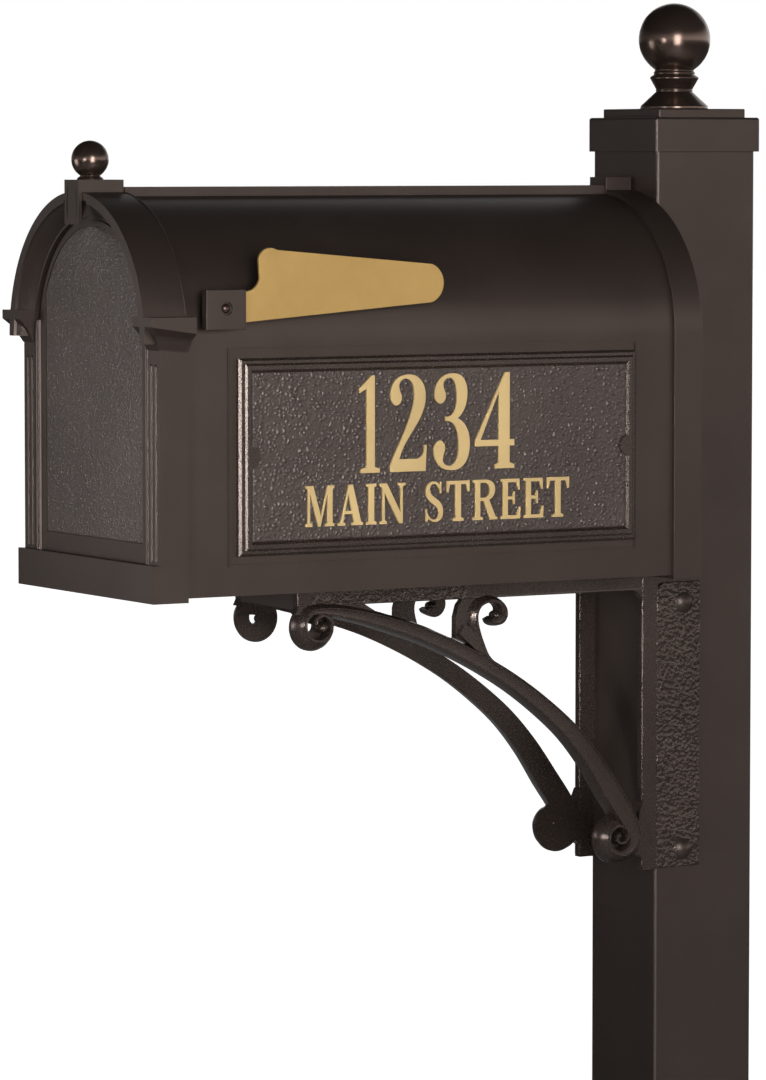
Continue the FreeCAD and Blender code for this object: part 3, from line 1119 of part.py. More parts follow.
failed = [item.Label for item in doc.Objects if {"Invalid", "Error"} & set(item.State)]
for label, part in NODES.items():
    if part.Shape.isNull() or not part.Shape.isValid():
        failed.append(label)
if failed:
    raise RuntimeError("failed objects: " + ", ".join(failed))

os.makedirs("parts", exist_ok=True)
for label, part in NODES.items():
    part.Shape.exportStep("parts/%s.step" % label)
    print("%-18s %2d solid(s) %10.0f mm3" % (label, len(part.Shape.Solids), part.Shape.Volume))
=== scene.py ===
"""Looks of the post-mounted mailbox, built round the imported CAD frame.  Metres, +Z up, door at -Y."""
import json
import math

import bmesh
import bpy
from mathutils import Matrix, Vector, noise as pattern


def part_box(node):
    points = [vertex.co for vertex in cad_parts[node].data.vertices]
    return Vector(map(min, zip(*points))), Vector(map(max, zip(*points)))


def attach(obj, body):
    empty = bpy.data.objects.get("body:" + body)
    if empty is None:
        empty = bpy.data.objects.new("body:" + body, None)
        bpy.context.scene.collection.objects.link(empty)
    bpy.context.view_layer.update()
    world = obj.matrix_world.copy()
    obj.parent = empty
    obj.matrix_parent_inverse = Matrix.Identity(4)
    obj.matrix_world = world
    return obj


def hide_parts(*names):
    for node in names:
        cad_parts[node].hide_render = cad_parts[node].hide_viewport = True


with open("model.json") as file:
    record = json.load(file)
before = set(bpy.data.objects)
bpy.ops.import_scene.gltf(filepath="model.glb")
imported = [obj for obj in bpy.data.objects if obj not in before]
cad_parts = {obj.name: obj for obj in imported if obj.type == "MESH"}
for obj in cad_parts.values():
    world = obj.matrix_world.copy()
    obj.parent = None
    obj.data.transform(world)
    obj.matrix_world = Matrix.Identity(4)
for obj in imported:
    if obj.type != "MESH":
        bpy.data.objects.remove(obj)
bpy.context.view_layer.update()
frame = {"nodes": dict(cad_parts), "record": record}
nodes = frame["nodes"]
MM = 0.001


# ------------------------------------------------------------------------------------ materials

def new_material(name):
    """An empty node material: returns the material, its tree and its principled shader."""
    material = bpy.data.materials.new(name)
    material.use_nodes = True
    tree = material.node_tree
    return material, tree, tree.nodes["Principled BSDF"]


def noise(tree, scale, detail=2.0, roughness=0.5):
    """A noise texture in the piece's own coordinates; scale is in cells per metre."""
    place = tree.nodes.new("ShaderNodeTexCoord")
    texture = tree.nodes.new("ShaderNodeTexNoise")
    texture.inputs["Scale"].default_value = scale
    texture.inputs["Detail"].default_value = detail
    texture.inputs["Roughness"].default_value = roughness
    tree.links.new(place.outputs["Object"], texture.inputs["Vector"])
    return texture.outputs["Fac"]


def ramp(tree, source, stops):
    """A colour ramp; stops are (position, colour)."""
    node = tree.nodes.new("ShaderNodeValToRGB")
    elements = node.color_ramp.elements
    while len(elements) < len(stops):
        elements.new(0.5)
    for element, (position, colour) in zip(elements, stops):
        element.position = position
        element.color = (*colour, 1.0)
    tree.links.new(source, node.inputs["Fac"])
    return node.outputs["Color"]


def spread(tree, source, low, high, start=0.3, end=0.7):
    """Map start..end of a texture to low..high."""
    node = tree.nodes.new("ShaderNodeMapRange")
    node.inputs["From Min"].default_value = start
    node.inputs["From Max"].default_value = end
    node.inputs["To Min"].default_value = low
    node.inputs["To Max"].default_value = high
    tree.links.new(source, node.inputs["Value"])
    return node.outputs["Result"]


def bump(tree, shader, source, distance):
    """Raise the surface by a texture."""
    node = tree.nodes.new("ShaderNodeBump")
    node.inputs["Distance"].default_value = distance
    tree.links.new(source, node.inputs["Height"])
    tree.links.new(node.outputs["Normal"], shader.inputs["Normal"])


def powder_coat(name, dark, light, rough_low, rough_high, grain=1400.0, lift=0.00003, metallic=0.3):
    """Powder-coated metal: fine orange-peel grain, slight colour drift, satin gloss."""
    material, tree, shader = new_material(name)
    drift = noise(tree, 14.0, 4.0, 0.6)
    colour = ramp(tree, drift, [(0.3, dark), (0.72, light)])
    tree.links.new(colour, shader.inputs["Base Color"])
    fine = noise(tree, grain, 2.0)
    tree.links.new(spread(tree, fine, rough_low, rough_high), shader.inputs["Roughness"])
    shader.inputs["Metallic"].default_value = metallic
    bump(tree, shader, fine, lift)
    return material


BRONZE = powder_coat("bronze_coat", (0.044, 0.031, 0.026), (0.054, 0.039, 0.033), 0.34, 0.44, metallic=0.68)
FIELD = powder_coat("bronze_stipple", (0.050, 0.037, 0.032), (0.064, 0.048, 0.042), 0.32, 0.44,
                    1100.0, 0.0001, 0.45)
CAST = powder_coat("bronze_casting", (0.040, 0.029, 0.024), (0.056, 0.041, 0.035), 0.22, 0.32,
                   900.0, 0.00004, 0.65)
BALL = powder_coat("ball_bronze", (0.074, 0.050, 0.040), (0.108, 0.075, 0.061), 0.19, 0.25,
                   900.0, 0.00001, 0.85)
GOLD = powder_coat("gold_paint", (0.33, 0.205, 0.062), (0.41, 0.255, 0.080), 0.42, 0.58,
                   1500.0, 0.00006, 0.45)
PALE_GOLD = powder_coat("character_gold", (0.46, 0.325, 0.145), (0.56, 0.40, 0.18), 0.34, 0.48,
                        1500.0, 0.00003, 0.4)
STEEL = powder_coat("zinc_steel", (0.38, 0.38, 0.39), (0.52, 0.52, 0.53), 0.28, 0.42,
                    2200.0, 0.00001, 1.0)
MAGNET = powder_coat("magnet", (0.03, 0.03, 0.032), (0.05, 0.05, 0.05), 0.6, 0.75)
SLOTS = {"bronze_coat": BRONZE, "bright_bronze": BALL, "gold_paint": GOLD, "zinc_steel": STEEL,
         "magnet": MAGNET}


# ----------------------------------------------------------------------------- carried-over CAD nodes

WELD_REACH = 0.01 * MM
FLAT_ANGLE = math.radians(0.2)
EDGE_ANGLE = math.radians(28.0)
EDGE = 0.60 * MM


def soften(piece, width):
    """Cast and folded edges are never sharp: round them a little so that they catch the light."""
    weld = piece.modifiers.new("weld", "WELD")
    weld.merge_threshold = WELD_REACH
    merge = piece.modifiers.new("flat", "DECIMATE")
    merge.decimate_type = "DISSOLVE"
    merge.angle_limit = FLAT_ANGLE
    bevel = piece.modifiers.new("bevel", "BEVEL")
    bevel.width = width
    bevel.segments = 2
    bevel.limit_method = "ANGLE"
    bevel.angle_limit = EDGE_ANGLE
    normals = piece.modifiers.new("normals", "WEIGHTED_NORMAL")
    normals.mode = "FACE_AREA"
    normals.weight = 90


OWN = {"address_plaque": CAST, "address_numerals": PALE_GOLD, "street_letters": PALE_GOLD}
# edge widths by material slot, and for the pieces whose fine mouldings need a crisper edge
SMALL = {"gold_paint": 0.35 * MM, "zinc_steel": 0.20 * MM, "magnet": 0.30 * MM}
CRISP = {"body_shell": 0.22 * MM, "keystone_pull": 0.30 * MM, "address_plaque": 0.40 * MM,
         "door": 0.45 * MM}

for part in frame["record"]["subparts"]:
    piece = nodes[part["node"]]
    piece.data.materials.clear()
    piece.data.materials.append(OWN.get(part["node"], SLOTS[part["material_slot"]]))
    for face in piece.data.polygons:
        face.use_smooth = True


# --------------------------------------------------------------------------------- mesh builders

def build(name, points, faces, material, body, replaces=(), sharp=None):
    """A closed mesh from points in millimetres, riding on a body of the CAD frame."""
    mesh = bpy.data.meshes.new(name)
    mesh.from_pydata([Vector(point) * MM for point in points], [], faces)
    work = bmesh.new()
    work.from_mesh(mesh)
    bmesh.ops.recalc_face_normals(work, faces=work.faces)
    work.to_mesh(mesh)
    work.free()
    for face in mesh.polygons:
        face.use_smooth = True
    if sharp:
        mesh.set_sharp_from_angle(angle=math.radians(sharp))
    mesh.materials.append(material)
    piece = bpy.data.objects.new(name, mesh)
    bpy.context.scene.collection.objects.link(piece)
    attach(piece, body)
    if replaces:
        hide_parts(*replaces)
    return piece


class Solid:
    """Collects closed shells in millimetres."""

    def __init__(self):
        self.points = []
        self.faces = []

    def sweep(self, rings):
        """Join equal rings into a tube with closed ends."""
        count = len(rings[0])
        start = len(self.points)
        for ring in rings:
            self.points += ring
        for row in range(len(rings) - 1):
            for spot in range(count):
                here = start + row * count + spot
                there = start + row * count + (spot + 1) % count
                self.faces.append((here, there, there + count, here + count))
        last = start + (len(rings) - 1) * count
        self.faces.append(tuple(range(start, start + count))[::-1])
        self.faces.append(tuple(range(last, last + count)))

    def plate(self, outer, inner, low, high, side):
        """A flat plate with a hole: outer and inner are outlines of equal length."""
        count = len(outer)
        start = len(self.points)
        for outline, x in ((outer, low), (outer, high), (inner, high), (inner, low)):
            self.points += [(side * x, y, z) for y, z in outline]
        for ring in range(4):
            for spot in range(count):
                here, after = start + ring * count + spot, start + ring * count + (spot + 1) % count
                there = start + (ring + 1) % 4 * count + spot
                beyond = start + (ring + 1) % 4 * count + (spot + 1) % count
                self.faces.append((here, after, beyond, there))

    def panel(self, place, rows, columns, low, high, left, right, back, height, radius):
        """A plate whose face is a fine grid: place(u, v, h) turns plate sizes into a point."""
        start = len(self.points)
        for row in range(rows + 1):
            v = low + (high - low) * row / rows
            a, b = left(v), right(v)
            for column in range(columns + 1):
                u = a + (b - a) * column / columns
                edge = min(u - a, b - u, v - low, high - v)
                fall = 0.0
                if edge < radius:
                    fall = radius - math.sqrt(max(0.0, radius ** 2 - (radius - edge) ** 2))
                rough = height(u, v) * min(1.0, edge / max(radius, 0.8))
                self.points.append(place(u, v, rough - fall))
        width = columns + 1
        for row in range(rows):
            for column in range(columns):
                here = start + row * width + column
                self.faces.append((here, here + 1, here + width + 1, here + width))
        rim = [(0, c) for c in range(columns)] + [(r, columns) for r in range(rows)]
        rim += [(rows, c) for c in range(columns, 0, -1)] + [(r, 0) for r in range(rows, 0, -1)]
        top = [start + row * width + column for row, column in rim]
        base = len(self.points)
        for row, column in rim:
            v = low + (high - low) * row / rows
            a, b = left(v), right(v)
            self.points.append(place(a + (b - a) * column / columns, v, -back))
        count = len(rim)
        for spot in range(count):
            after = (spot + 1) % count
            self.faces.append((top[spot], top[after], base + after, base + spot))
        self.faces.append(tuple(range(base, base + count))[::-1])


# noise_vector starts from the clock, so the warp is made of three plain noises
WARPS = (Vector((9.3, 1.5, 7.9)), Vector((3.1, 8.7, 2.4)), Vector((5.6, 4.2, 0.8)))


def grain(u, v, cell, seed):
    """Rounded pebbles with creases between them, 0 to 1."""
    spot = Vector((u / cell, v / cell, seed))
    warp = Vector([pattern.noise(spot * 0.7 + offset) for offset in WARPS]) * 0.45
    distances, _ = pattern.voronoi(spot + warp)
    return min(1.0, (distances[1] - distances[0]) * 1.5)


def hammered(u, v, cell, seed):
    """Soft hammered dents of mixed size, 0 to 1."""
    spot = Vector((u / cell, v / cell, seed))
    coarse = pattern.noise(spot * 0.8)
    fine = pattern.noise(spot * 1.9 + Vector((7.0, 3.0, 1.0)))
    return min(1.0, max(0.0, 0.5 + 0.75 * coarse + 0.4 * fine))


def smooth_path(points, pieces):
    """Catmull-Rom curve through 2-D points."""
    padded = [points[0]] + list(points) + [points[-1]]
    path = []
    for i in range(1, len(padded) - 2):
        before, start, end, after = (Vector(p) for p in padded[i - 1:i + 3])
        for step in range(pieces):
            t = step / pieces
            path.append(0.5 * (2 * start + (end - before) * t
                               + (2 * before - 5 * start + 4 * end - after) * t ** 2
                               + (3 * start - before - 3 * end + after) * t ** 3))
    path.append(Vector(points[-1]))
    return path


# ------------------------------------------------------------------------------------- brackets

# all in millimetres; outlines are (depth, height) in the YZ plane
ARCH = 1273.0                   # height of the arch's centre
CASTING = 121.4                 # outer radius of the door's hood
FLANK = 118.6                   # face of the line frames on the flanks
WEB = 46.0                      # inner face of the brackets
RIDGE = 61.0                    # outermost edge of the arm and its scrolls
# shells that overlap start a little apart, so that no two faces lie in one plane
DISC = WEB - 0.4
BEHIND = WEB + 0.4
SHELF_FACE, SHELF_FRONT, SHELF_REAR, SHELF_LOW, SHELF_TOP = 54.3, -409.0, -66.7, 1049.0, 1063.5
LEG_FRONT, LEG_FOOT, LEG_DEPTH = -66.6, 805.0, 16.0
CHEEK_FACE, CHEEK_FRONT, CHEEK_REAR, CHEEK_FOOT, CHEEK_TOP = 54.9, -51.8, -6.6, 806.0, 1055.0
CHEEK_CORNER = 10.0
FRONT_EYE = (-391.6, 1033.9)
LOWER_EYE = (-91.8, 836.6)
# (degrees, ridge radius, outward flare, thickness) seen from +X, the front scroll unwinds clockwise
FRONT_TURNS = [(530, 4.6, 1.5, 3.0), (490, 6.0, 1.5, 2.8), (450, 8.0, 1.6, 2.6), (410, 11.2, 1.8, 2.4),
               (370, 13.6, 2.4, 2.2), (330, 14.4, 5.0, 2.0), (290, 14.6, 7.4, 2.0), (250, 14.5, 8.2, 2.0),
               (210, 14.2, 7.6, 2.2), (170, 14.0, 6.4, 2.6), (130, 13.8, 5.4, 3.4), (100, 13.8, 4.6, 4.6)]
# (depth, height, outward flare, thickness) along the arm
ARM = [(-377.0, 1047.6, 4.0, 6.8), (-360.0, 1045.6, 3.4, 8.4), (-338.0, 1041.2, 3.0, 9.6),
       (-314.0, 1034.6, 2.8, 10.4), (-285.0, 1025.2, 2.6, 11.0), (-255.0, 1012.6, 2.5, 11.4),
       (-224.0, 997.2, 2.5, 11.8), (-194.0, 979.6, 2.5, 12.2), (-165.0, 959.0, 2.5, 12.8),
       (-138.0, 936.2, 2.5, 13.6), (-114.0, 909.6, 2.6, 15.0), (-93.5, 881.0, 3.0, 16.4),
       (-79.5, 859.5, 4.0, 15.5)]
LOWER_TURNS = [(10, 20.9, 5.6, 13.0), (-20, 20.0, 6.4, 10.5), (-50, 18.8, 7.2, 7.6), (-90, 16.8, 7.6, 4.4),
               (-135, 14.9, 7.8, 3.0), (-180, 13.3, 7.6, 2.6), (-225, 12.0, 7.0, 2.4), (-270, 10.9, 5.6, 2.4),
               (-315, 9.9, 3.0, 2.4), (-360, 8.8, 1.4, 2.2), (-405, 7.7, 1.2, 2.2), (-450, 6.5, 1.0, 2.2),
               (-495, 5.6, 1.0, 2.2), (-540, 4.8, 1.0, 2.2), (-585, 4.0, 0.8, 2.4), (-620, 3.2, 0.8, 2.6)]
BRANCH = [(-213.0, 987.5, 4.0, 2.0), (-226.3, 998.0, 8.0, 2.2), (-232.9, 1011.0, 9.0, 2.2),
          (-236.8, 1022.5, 7.4, 2.0), (-238.6, 1031.5, 6.8, 2.0), (-237.8, 1038.6, 6.2, 2.0),
          (-234.1, 1044.2, 5.6, 2.0), (-227.4, 1047.6, 4.4, 2.2), (-219.7, 1048.0, 3.6, 2.6),
          (-213.2, 1045.9, 3.0, 3.4), (-208.8, 1041.6, 2.6, 4.6), (-207.1, 1035.9, 2.4, 6.4),
          (-208.4, 1031.0, 2.2, 7.4), (-212.0, 1027.4, 2.0, 7.8), (-217.0, 1026.4, 1.8, 7.2),
          (-221.6, 1028.2, 1.4, 5.4), (-223.4, 1031.2, 1.0, 3.6)]
# rounded ends of the three scrolls: centre, radii, twist in the YZ plane
BULBS = [((53.0, -385.0, 1031.2), (6.8, 5.4, 4.4), 0.5), ((53.0, -215.6, 1033.6), (7.2, 5.0, 4.2), -0.6),
         ((52.0, -92.2, 837.0), (8.0, 4.2, 4.2), 0.0)]
# flat backs of the two volutes: centre and radius; the front one is pierced by an oval eye
FRONT_DISC, LOWER_DISC, DISC_THICK = ((-392.5, 1031.5), 20.2), ((-90.5, 833.5), 21.8), 3.0
EYE_CENTRE, EYE_ACROSS, EYE_UP = (-395.5, 1032.8), 4.2, 5.6
# webs that tie the scrolls to the shelf edge and the leg: outline, start, end across the bracket
ROOT_WEB = ([(-254.0, 1020.0), (-249.0, 1027.0), (-243.0, 1026.0), (-233.0, 1009.0), (-226.0, 999.0),
             (-238.0, 1006.0)], BEHIND, 58.5)
FRONT_WEB = ([(-408.0, 1049.5), (-411.0, 1043.0), (-404.0, 1042.0), (-392.0, 1046.5), (-376.0, 1046.8),
              (-338.0, 1040.0), (-331.0, 1041.0), (-345.0, 1049.5)], BEHIND, 54.0)
BRANCH_WEB = ([(-255.0, 1016.0), (-254.8, 1034.0), (-252.0, 1044.0), (-247.5, 1049.5), (-215.0, 1049.5),
               (-226.0, 1046.0), (-236.0, 1040.0), (-239.0, 1030.0), (-236.0, 1018.0), (-228.0, 1004.0)],
              WEB + 0.6, 53.4)
FOOT_WEB = ([(-66.0, 816.0), (-72.0, 822.0), (-70.0, 856.0), (-66.0, 866.0)], BEHIND, 56.0)
# inside corner between shelf edge and leg
FILLET_CENTRE, FILLET_RADIUS, FILLET_STEPS = (-77.0, 1038.6), 10.4, 16


def round_eye(turns, eye):
    """Points of a scroll's ridge from its table of angles and radii."""
    table = []
    for degrees, radius, flare, thick in turns:
        angle = math.radians(degrees)
        table.append((eye[0] + radius * math.cos(angle), eye[1] + radius * math.sin(angle), flare, thick))
    return table


def band_rings(table, side, pieces, ridge=RIDGE, web=WEB):
    """Cross-sections of a cast band: flared outside, a raised ridge at each edge, coved between."""
    keys = [(row[0], row[1], row[2]) for row in table]
    path = smooth_path(keys, pieces)
    thick_path = smooth_path([(row[3], 0.0) for row in table], pieces)
    rings = []
    for i, point in enumerate(path):
        ahead = path[min(i + 1, len(path) - 1)]
        behind = path[max(i - 1, 0)]
        run = Vector((ahead[0] - behind[0], ahead[1] - behind[1])).normalized()
        normal = Vector((-run.y, run.x))
        flare, thick = point[2], max(1.6, thick_path[i][0])
        under = min(2.5, thick * 0.25)
        lip = min(0.9, thick * 0.2)
        sunk = min(1.0, thick * 0.12)
        section = [(flare, web), (flare * 0.97, web + 3.0), (flare * 0.84, web + 6.5),
                   (flare * 0.58, web + 10.0), (flare * 0.28, web + 12.8), (0.3, ridge - 0.7), (-0.1, ridge),
                   (-lip, ridge), (-lip * 1.6, ridge - sunk), (-thick / 2, ridge - sunk * 1.15),
                   (lip * 1.6 - thick, ridge - sunk), (lip - thick, ridge), (0.1 - thick, ridge),
                   (-0.3 - thick, ridge - 0.7), (-thick - under * 0.6, web + 9.0),
                   (-thick - under, web + 3.0), (-thick - under, web)]
        rings.append([(side * x, point[0] + normal.x * a, point[1] + normal.y * a) for a, x in section])
    return rings


def bulb(solid, centre, radii, side, twist=0.0):
    """A rounded terminal at the end of a scroll."""
    rings = []
    for i in range(1, 12):
        across = math.pi * i / 12
        ring = []
        for j in range(20):
            around = 2 * math.pi * j / 20
            y = radii[1] * math.sin(across) * math.cos(around)
            z = radii[2] * math.sin(across) * math.sin(around)
            ring.append((side * (centre[0] + radii[0] * math.cos(across)),
                         centre[1] + y * math.cos(twist) - z * math.sin(twist),
                         centre[2] + y * math.sin(twist) + z * math.cos(twist)))
        rings.append(ring)
    solid.sweep(rings)


def circle(centre, across, up, count=40):
    """An oval outline in the YZ plane."""
    return [(centre[0] + across * math.cos(2 * math.pi * k / count),
             centre[1] + up * math.sin(2 * math.pi * k / count)) for k in range(count)]


def prism(solid, outline, low, high, side):
    """A plain web between two planes of X."""
    solid.sweep([[(side * x, y, z) for y, z in outline] for x in (low, high)])


def make_bracket(name, side):
    """One bracket casting: shelf edge, leg, cheek, arm with both volutes, and the branch scroll."""
    seed = 3.0 if side > 0 else 11.0
    arm_pieces, hammer_cell, cheek_cell = 6, 1.7, 2.2
    solid = Solid()
    table = round_eye(FRONT_TURNS, FRONT_EYE) + ARM + round_eye(LOWER_TURNS, LOWER_EYE)
    solid.sweep(band_rings(table, side, arm_pieces))
    solid.sweep(band_rings(BRANCH, side, arm_pieces, RIDGE - 0.2, WEB + 0.2))
    for centre, radii, twist in BULBS:
        bulb(solid, centre, radii, side, twist)

    front_centre, front_radius = FRONT_DISC
    lower_centre, lower_radius = LOWER_DISC
    solid.plate(circle(front_centre, front_radius, front_radius), circle(EYE_CENTRE, EYE_ACROSS, EYE_UP),
                DISC, DISC + DISC_THICK, side)
    prism(solid, circle(lower_centre, lower_radius, lower_radius), DISC, DISC + DISC_THICK, side)
    for outline, low, high in (ROOT_WEB, FRONT_WEB, BRANCH_WEB):
        prism(solid, outline, low, high, side)
    across, up = FILLET_CENTRE
    corner = [(across + FILLET_RADIUS * math.sin(k * math.pi / FILLET_STEPS),
               up + FILLET_RADIUS * math.cos(k * math.pi / FILLET_STEPS)) for k in range(9)]
    prism(solid, [(-66.4, 1049.6), (across, 1049.6)] + corner[1:], WEB + 0.3, 54.0, side)
    prism(solid, *FOOT_WEB, side)

    def place_flank(x):
        return lambda u, v, h: (side * (x + h), u, v)

    def strip_height(u, v):
        """The shelf edge is hammered for most of its length and smooth at both ends."""
        if -395.0 < u < -245.0:
            return 0.7 * hammered(u, v, hammer_cell, seed) - 0.55
        return -0.5 if u > -238.0 else -0.1

    def cheek_height(u, v):
        return 0.70 * hammered(u, v, cheek_cell, seed + 4.0) - 0.65

    def cheek_left(v):
        """Front edge of the cheek, with its upper corner rounded off."""
        drop = max(0.0, v - (CHEEK_TOP - CHEEK_CORNER))
        return CHEEK_FRONT + CHEEK_CORNER - math.sqrt(max(0.0, CHEEK_CORNER ** 2 - drop ** 2))

    solid.panel(place_flank(SHELF_FACE), 24, 500, SHELF_LOW, SHELF_TOP,
                lambda v: SHELF_FRONT, lambda v: SHELF_REAR, 8.2, strip_height, 0.9)
    solid.panel(lambda u, v, h: (side * u, LEG_FRONT - h, v), 100, 8, LEG_FOOT, SHELF_TOP,
                lambda v: WEB + 0.2, lambda v: SHELF_FACE, LEG_DEPTH, lambda u, v: 0.0, 0.8)
    solid.panel(place_flank(CHEEK_FACE), 400, 74, CHEEK_FOOT, CHEEK_TOP,
                cheek_left, lambda v: CHEEK_REAR, 4.0, cheek_height, 1.0)
    build(name + "_casting", solid.points, solid.faces, CAST, "post_and_box", replaces=[name], sharp=38)


BRACKETS = {"bracket_right": 1, "bracket_left": -1}
for bracket, side_of_post in BRACKETS.items():
    make_bracket(bracket, side_of_post)


# --------------------------------------------------------------------------------- textured fields

def make_plaque_field():
    """Pebbled ground of the plaque, all of it proud of the recess floor."""
    low, high = (Vector(corner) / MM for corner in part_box("address_plaque"))
    border, depth, back, gap = 11.4, 2.4, 0.6, 0.1
    pebble_cell, swell_cell, lift, relief = 3.4, 5.0, 0.10, 1.25
    floor = high.x - depth

    def pebble(u, v):
        swell = 0.35 + 0.65 * hammered(u, v, swell_cell, 5.0)
        return lift + relief * grain(u, v, pebble_cell, 2.0) * swell
    solid = Solid()
    solid.panel(lambda u, v, h: (floor + h, u, v), 230, 600, low.z + border + gap, high.z - border - gap,
                lambda v: low.y + border + gap, lambda v: high.y - border - gap, back, pebble, 0.0)
    build("plaque_ground", solid.points, solid.faces, FIELD, "post_and_box")


def make_door_field():
    """Finely stippled panel of the door, arched like the recess that it fills."""
    half, radius, low, floor, gap = 85.9, 93.4, 1110.1, -570.4, 0.4
    least, stipple_cell, lift, relief = 4.0, 2.0, 0.04, 0.44

    def reach(v):
        return min(half, math.sqrt(max(least ** 2, radius ** 2 - max(0.0, v - ARCH) ** 2)))
    solid = Solid()
    solid.panel(lambda u, v, h: (u, floor - h, v), 440, 290, low, ARCH + radius - gap,
                lambda v: -reach(v), reach, 0.5,
                lambda u, v: lift + relief * grain(u, v, stipple_cell, 8.0), 0.0)
    build("door_ground", solid.points, solid.faces, FIELD, "door_leaf")


def oblong(front, rear, low, high, inset):
    """A rectangular outline in the YZ plane, drawn in by an inset."""
    return [(front + inset, low + inset), (rear - inset, low + inset),
            (rear - inset, high - inset), (front + inset, high - inset)]


def make_line_frames():
    """The line frames pressed in the flanks have a fine rib along both edges."""
    front, rear, low, high, proud, sunk = -509.8, -115.6, 1090.5, 1268.5, 0.35, 0.05
    for name, side in (("flank_lines_right", 1), ("flank_lines_left", -1)):
        solid = Solid()
        for outer, inner in ((0.1, 0.8), (1.4, 2.1)):
            solid.plate(oblong(front, rear, low, high, outer), oblong(front, rear, low, high, inner),
                        FLANK - sunk, FLANK + proud, side)
        build(name, solid.points, solid.faces, BRONZE, "post_and_box", sharp=30)


def make_key_inset():
    """Raised field inside the keystone's sunk face, with a groove left round it."""
    half, low, high, back, face = 7.5, 1373.7, 1396.8, -589.4, -590.0
    solid = Solid()
    solid.sweep([[(-half, y, low), (half, y, low), (half, y, high), (-half, y, high)] for y in (back, face)])
    build("keystone_inset", solid.points, solid.faces, BRONZE, "door_leaf", sharp=30)


def make_hood_edge():
    """Half-round lip along the rear edge of the hood, from corbel over the crown to corbel."""
    rear, width, proud, sunk, steps, start = -547.9, 1.5, 0.55, 0.4, 160, math.radians(11.0)
    profile = []
    for k in range(7):
        turn = math.pi * k / 6
        profile.append((CASTING + proud * math.sin(turn), rear - width / 2 * (1 - math.cos(turn))))
    profile += [(CASTING - sunk, rear - width), (CASTING - sunk, rear)]
    rings = []
    for step in range(steps + 1):
        angle = start + (math.pi - 2 * start) * step / steps
        rings.append([(reach * math.cos(angle), y, ARCH + reach * math.sin(angle)) for reach, y in profile])
    solid = Solid()
    solid.sweep(rings)
    build("hood_edge", solid.points, solid.faces, BRONZE, "door_leaf", sharp=50)


make_plaque_field()
make_door_field()
make_line_frames()
make_key_inset()
make_hood_edge()

for part in frame["record"]["subparts"]:
    if part["node"] in BRACKETS:
        continue
    soften(nodes[part["node"]], CRISP.get(part["node"], SMALL.get(part["material_slot"], EDGE)))


# ------------------------------------------------------------------------------- floor, light, view

def camera_only(tree, seen, unseen):
    """Join two shaders: one where the camera looks straight at the surface, one for all other rays."""
    path = tree.nodes.new("ShaderNodeLightPath")
    mix = tree.nodes.new("ShaderNodeMixShader")
    tree.links.new(path.outputs["Is Camera Ray"], mix.inputs["Fac"])
    tree.links.new(unseen, mix.inputs[1])
    tree.links.new(seen, mix.inputs[2])
    return mix.outputs["Shader"]


def make_floor():
    """A pale floor that runs out to the horizon, where it is as bright as the background."""
    reach, drop = 60.0, 0.5 * MM
    bpy.ops.mesh.primitive_circle_add(vertices=96, radius=reach, fill_type="NGON", location=(0, 0, -drop))
    floor = bpy.context.object
    floor.name = "floor"
    material, tree, shader = new_material("pale_floor")
    shade = noise(tree, 0.6, 2.0)
    tree.links.new(ramp(tree, shade, [(0.2, (0.60, 0.60, 0.60)), (0.8, (0.64, 0.64, 0.64))]),
                   shader.inputs["Base Color"])
    shader.inputs["Roughness"].default_value = 0.9
    shader.inputs["Emission Color"].default_value = (1.0, 1.0, 1.0, 1.0)
    place = tree.nodes.new("ShaderNodeTexCoord")
    length = tree.nodes.new("ShaderNodeVectorMath")
    length.operation = "LENGTH"
    tree.links.new(place.outputs["Object"], length.inputs[0])
    glow = tree.nodes.new("ShaderNodeMapRange")
    glow.interpolation_type = "SMOOTHSTEP"
    glow.inputs["From Min"].default_value = 0.4
    glow.inputs["From Max"].default_value = 3.2
    glow.inputs["To Min"].default_value = 0.55
    glow.inputs["To Max"].default_value = 1.0
    tree.links.new(length.outputs["Value"], glow.inputs["Value"])
    tree.links.new(glow.outputs["Result"], shader.inputs["Emission Strength"])
    plain = tree.nodes.new("ShaderNodeBsdfDiffuse")
    plain.inputs["Color"].default_value = (0.5, 0.5, 0.5, 1.0)
    output = tree.nodes["Material Output"]
    tree.links.new(camera_only(tree, shader.outputs["BSDF"], plain.outputs["BSDF"]), output.inputs["Surface"])
    floor.data.materials.append(material)


# name, place, aim, width, height, watts, spread in degrees
LIGHTS = [("key", (2.7, -1.15, 1.4), (0.0, -0.3, 1.05), 0.9, 1.5, 70.0, 180.0),
          ("front", (-0.55, -1.45, 1.15), (0.0, -0.58, 1.2), 0.5, 0.5, 0.45, 52.0),
          ("glint", (1.06, -2.4, 1.25), (0.1, -0.32, 1.1), 0.25, 0.5, 0.75, 26.0),
          ("fill", (-2.6, 1.3, 1.3), (0.0, -0.2, 1.0), 1.4, 1.4, 14.0, 180.0),
          ("back", (-1.8, 1.9, 2.5), (0.0, -0.3, 1.3), 2.6, 1.2, 7.0, 180.0)]


def area_light(name, place, target, width, height, power, spread_angle):
    """A soft box aimed at a point."""
    data = bpy.data.lights.new(name, "AREA")
    data.energy = power
    data.shape = "RECTANGLE"
    data.size = width
    data.size_y = height
    data.spread = math.radians(spread_angle)
    light = bpy.data.objects.new(name, data)
    bpy.context.scene.collection.objects.link(light)
    light.location = place
    light.rotation_mode = "QUATERNION"
    light.rotation_quaternion = (Vector(target) - Vector(place)).to_track_quat("-Z", "Y")
    light.visible_camera = False


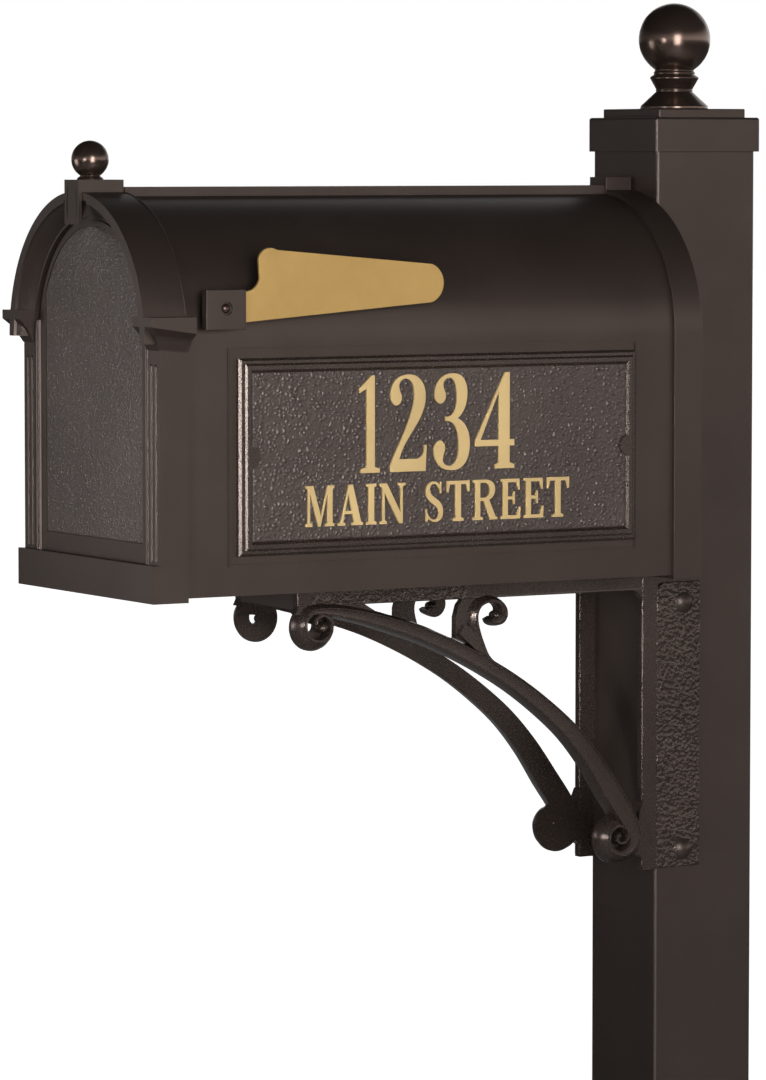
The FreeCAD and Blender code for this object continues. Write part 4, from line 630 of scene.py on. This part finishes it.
# grey of the studio from straight down (0) over the horizon (0.5) to straight up (1)
STUDIO_WALL = [(0.0, (0.22, 0.22, 0.22)), (0.42, (0.40, 0.40, 0.40)), (0.5, (0.90, 0.89, 0.87)),
               (0.57, (0.55, 0.54, 0.53)), (0.66, (0.03, 0.03, 0.03)), (1.0, (0.015, 0.015, 0.015))]
BRIGHT_SIDE = (0.83, 0.56, 0.0)
WALL_STRENGTH = (0.3, 3.1)      # away from and towards the bright side


def make_world():
    """White to the camera; for lighting, a soft studio: bright round the horizon, dark overhead."""
    world = bpy.data.worlds.new("studio")
    world.use_nodes = True
    tree = world.node_tree
    seen = tree.nodes["Background"]
    seen.inputs["Color"].default_value = (1.0, 1.0, 1.0, 1.0)
    seen.inputs["Strength"].default_value = 1.0
    place = tree.nodes.new("ShaderNodeTexCoord")
    split = tree.nodes.new("ShaderNodeSeparateXYZ")
    tree.links.new(place.outputs["Generated"], split.inputs["Vector"])
    node = tree.nodes.new("ShaderNodeMapRange")
    node.inputs["From Min"].default_value = -1.0
    tree.links.new(split.outputs["Z"], node.inputs["Value"])
    shade = ramp(tree, node.outputs["Result"], STUDIO_WALL)
    toward = tree.nodes.new("ShaderNodeVectorMath")
    toward.operation = "DOT_PRODUCT"
    toward.inputs[1].default_value = BRIGHT_SIDE
    tree.links.new(place.outputs["Generated"], toward.inputs[0])
    around = tree.nodes.new("ShaderNodeBackground")
    strength = spread(tree, toward.outputs["Value"], *WALL_STRENGTH, -1.0, 1.0)
    tree.links.new(strength, around.inputs["Strength"])
    tree.links.new(shade, around.inputs["Color"])
    tree.links.new(camera_only(tree, seen.outputs["Background"], around.outputs["Background"]),
                   tree.nodes["World Output"].inputs["Surface"])
    bpy.context.scene.world = world


CAMERA_PLACE = (3.8160, -2.5358, 1.4249)
CAMERA_DOWN, CAMERA_TURN = 4.2306, 59.5766
LENS = 173.93


def make_camera():
    """Long lens a little above the box, looking down by four degrees."""
    data = bpy.data.cameras.new("camera")
    data.sensor_width = 36.0
    data.lens = LENS
    data.clip_end = 300.0
    camera = bpy.data.objects.new("camera", data)
    bpy.context.scene.collection.objects.link(camera)
    camera.location = CAMERA_PLACE
    camera.rotation_euler = (math.radians(90.0 - CAMERA_DOWN), 0.0, math.radians(CAMERA_TURN))
    bpy.context.scene.camera = camera


make_floor()
make_world()
for light in LIGHTS:
    area_light(*light)
make_camera()
bpy.context.scene.view_settings.view_transform = "Standard"
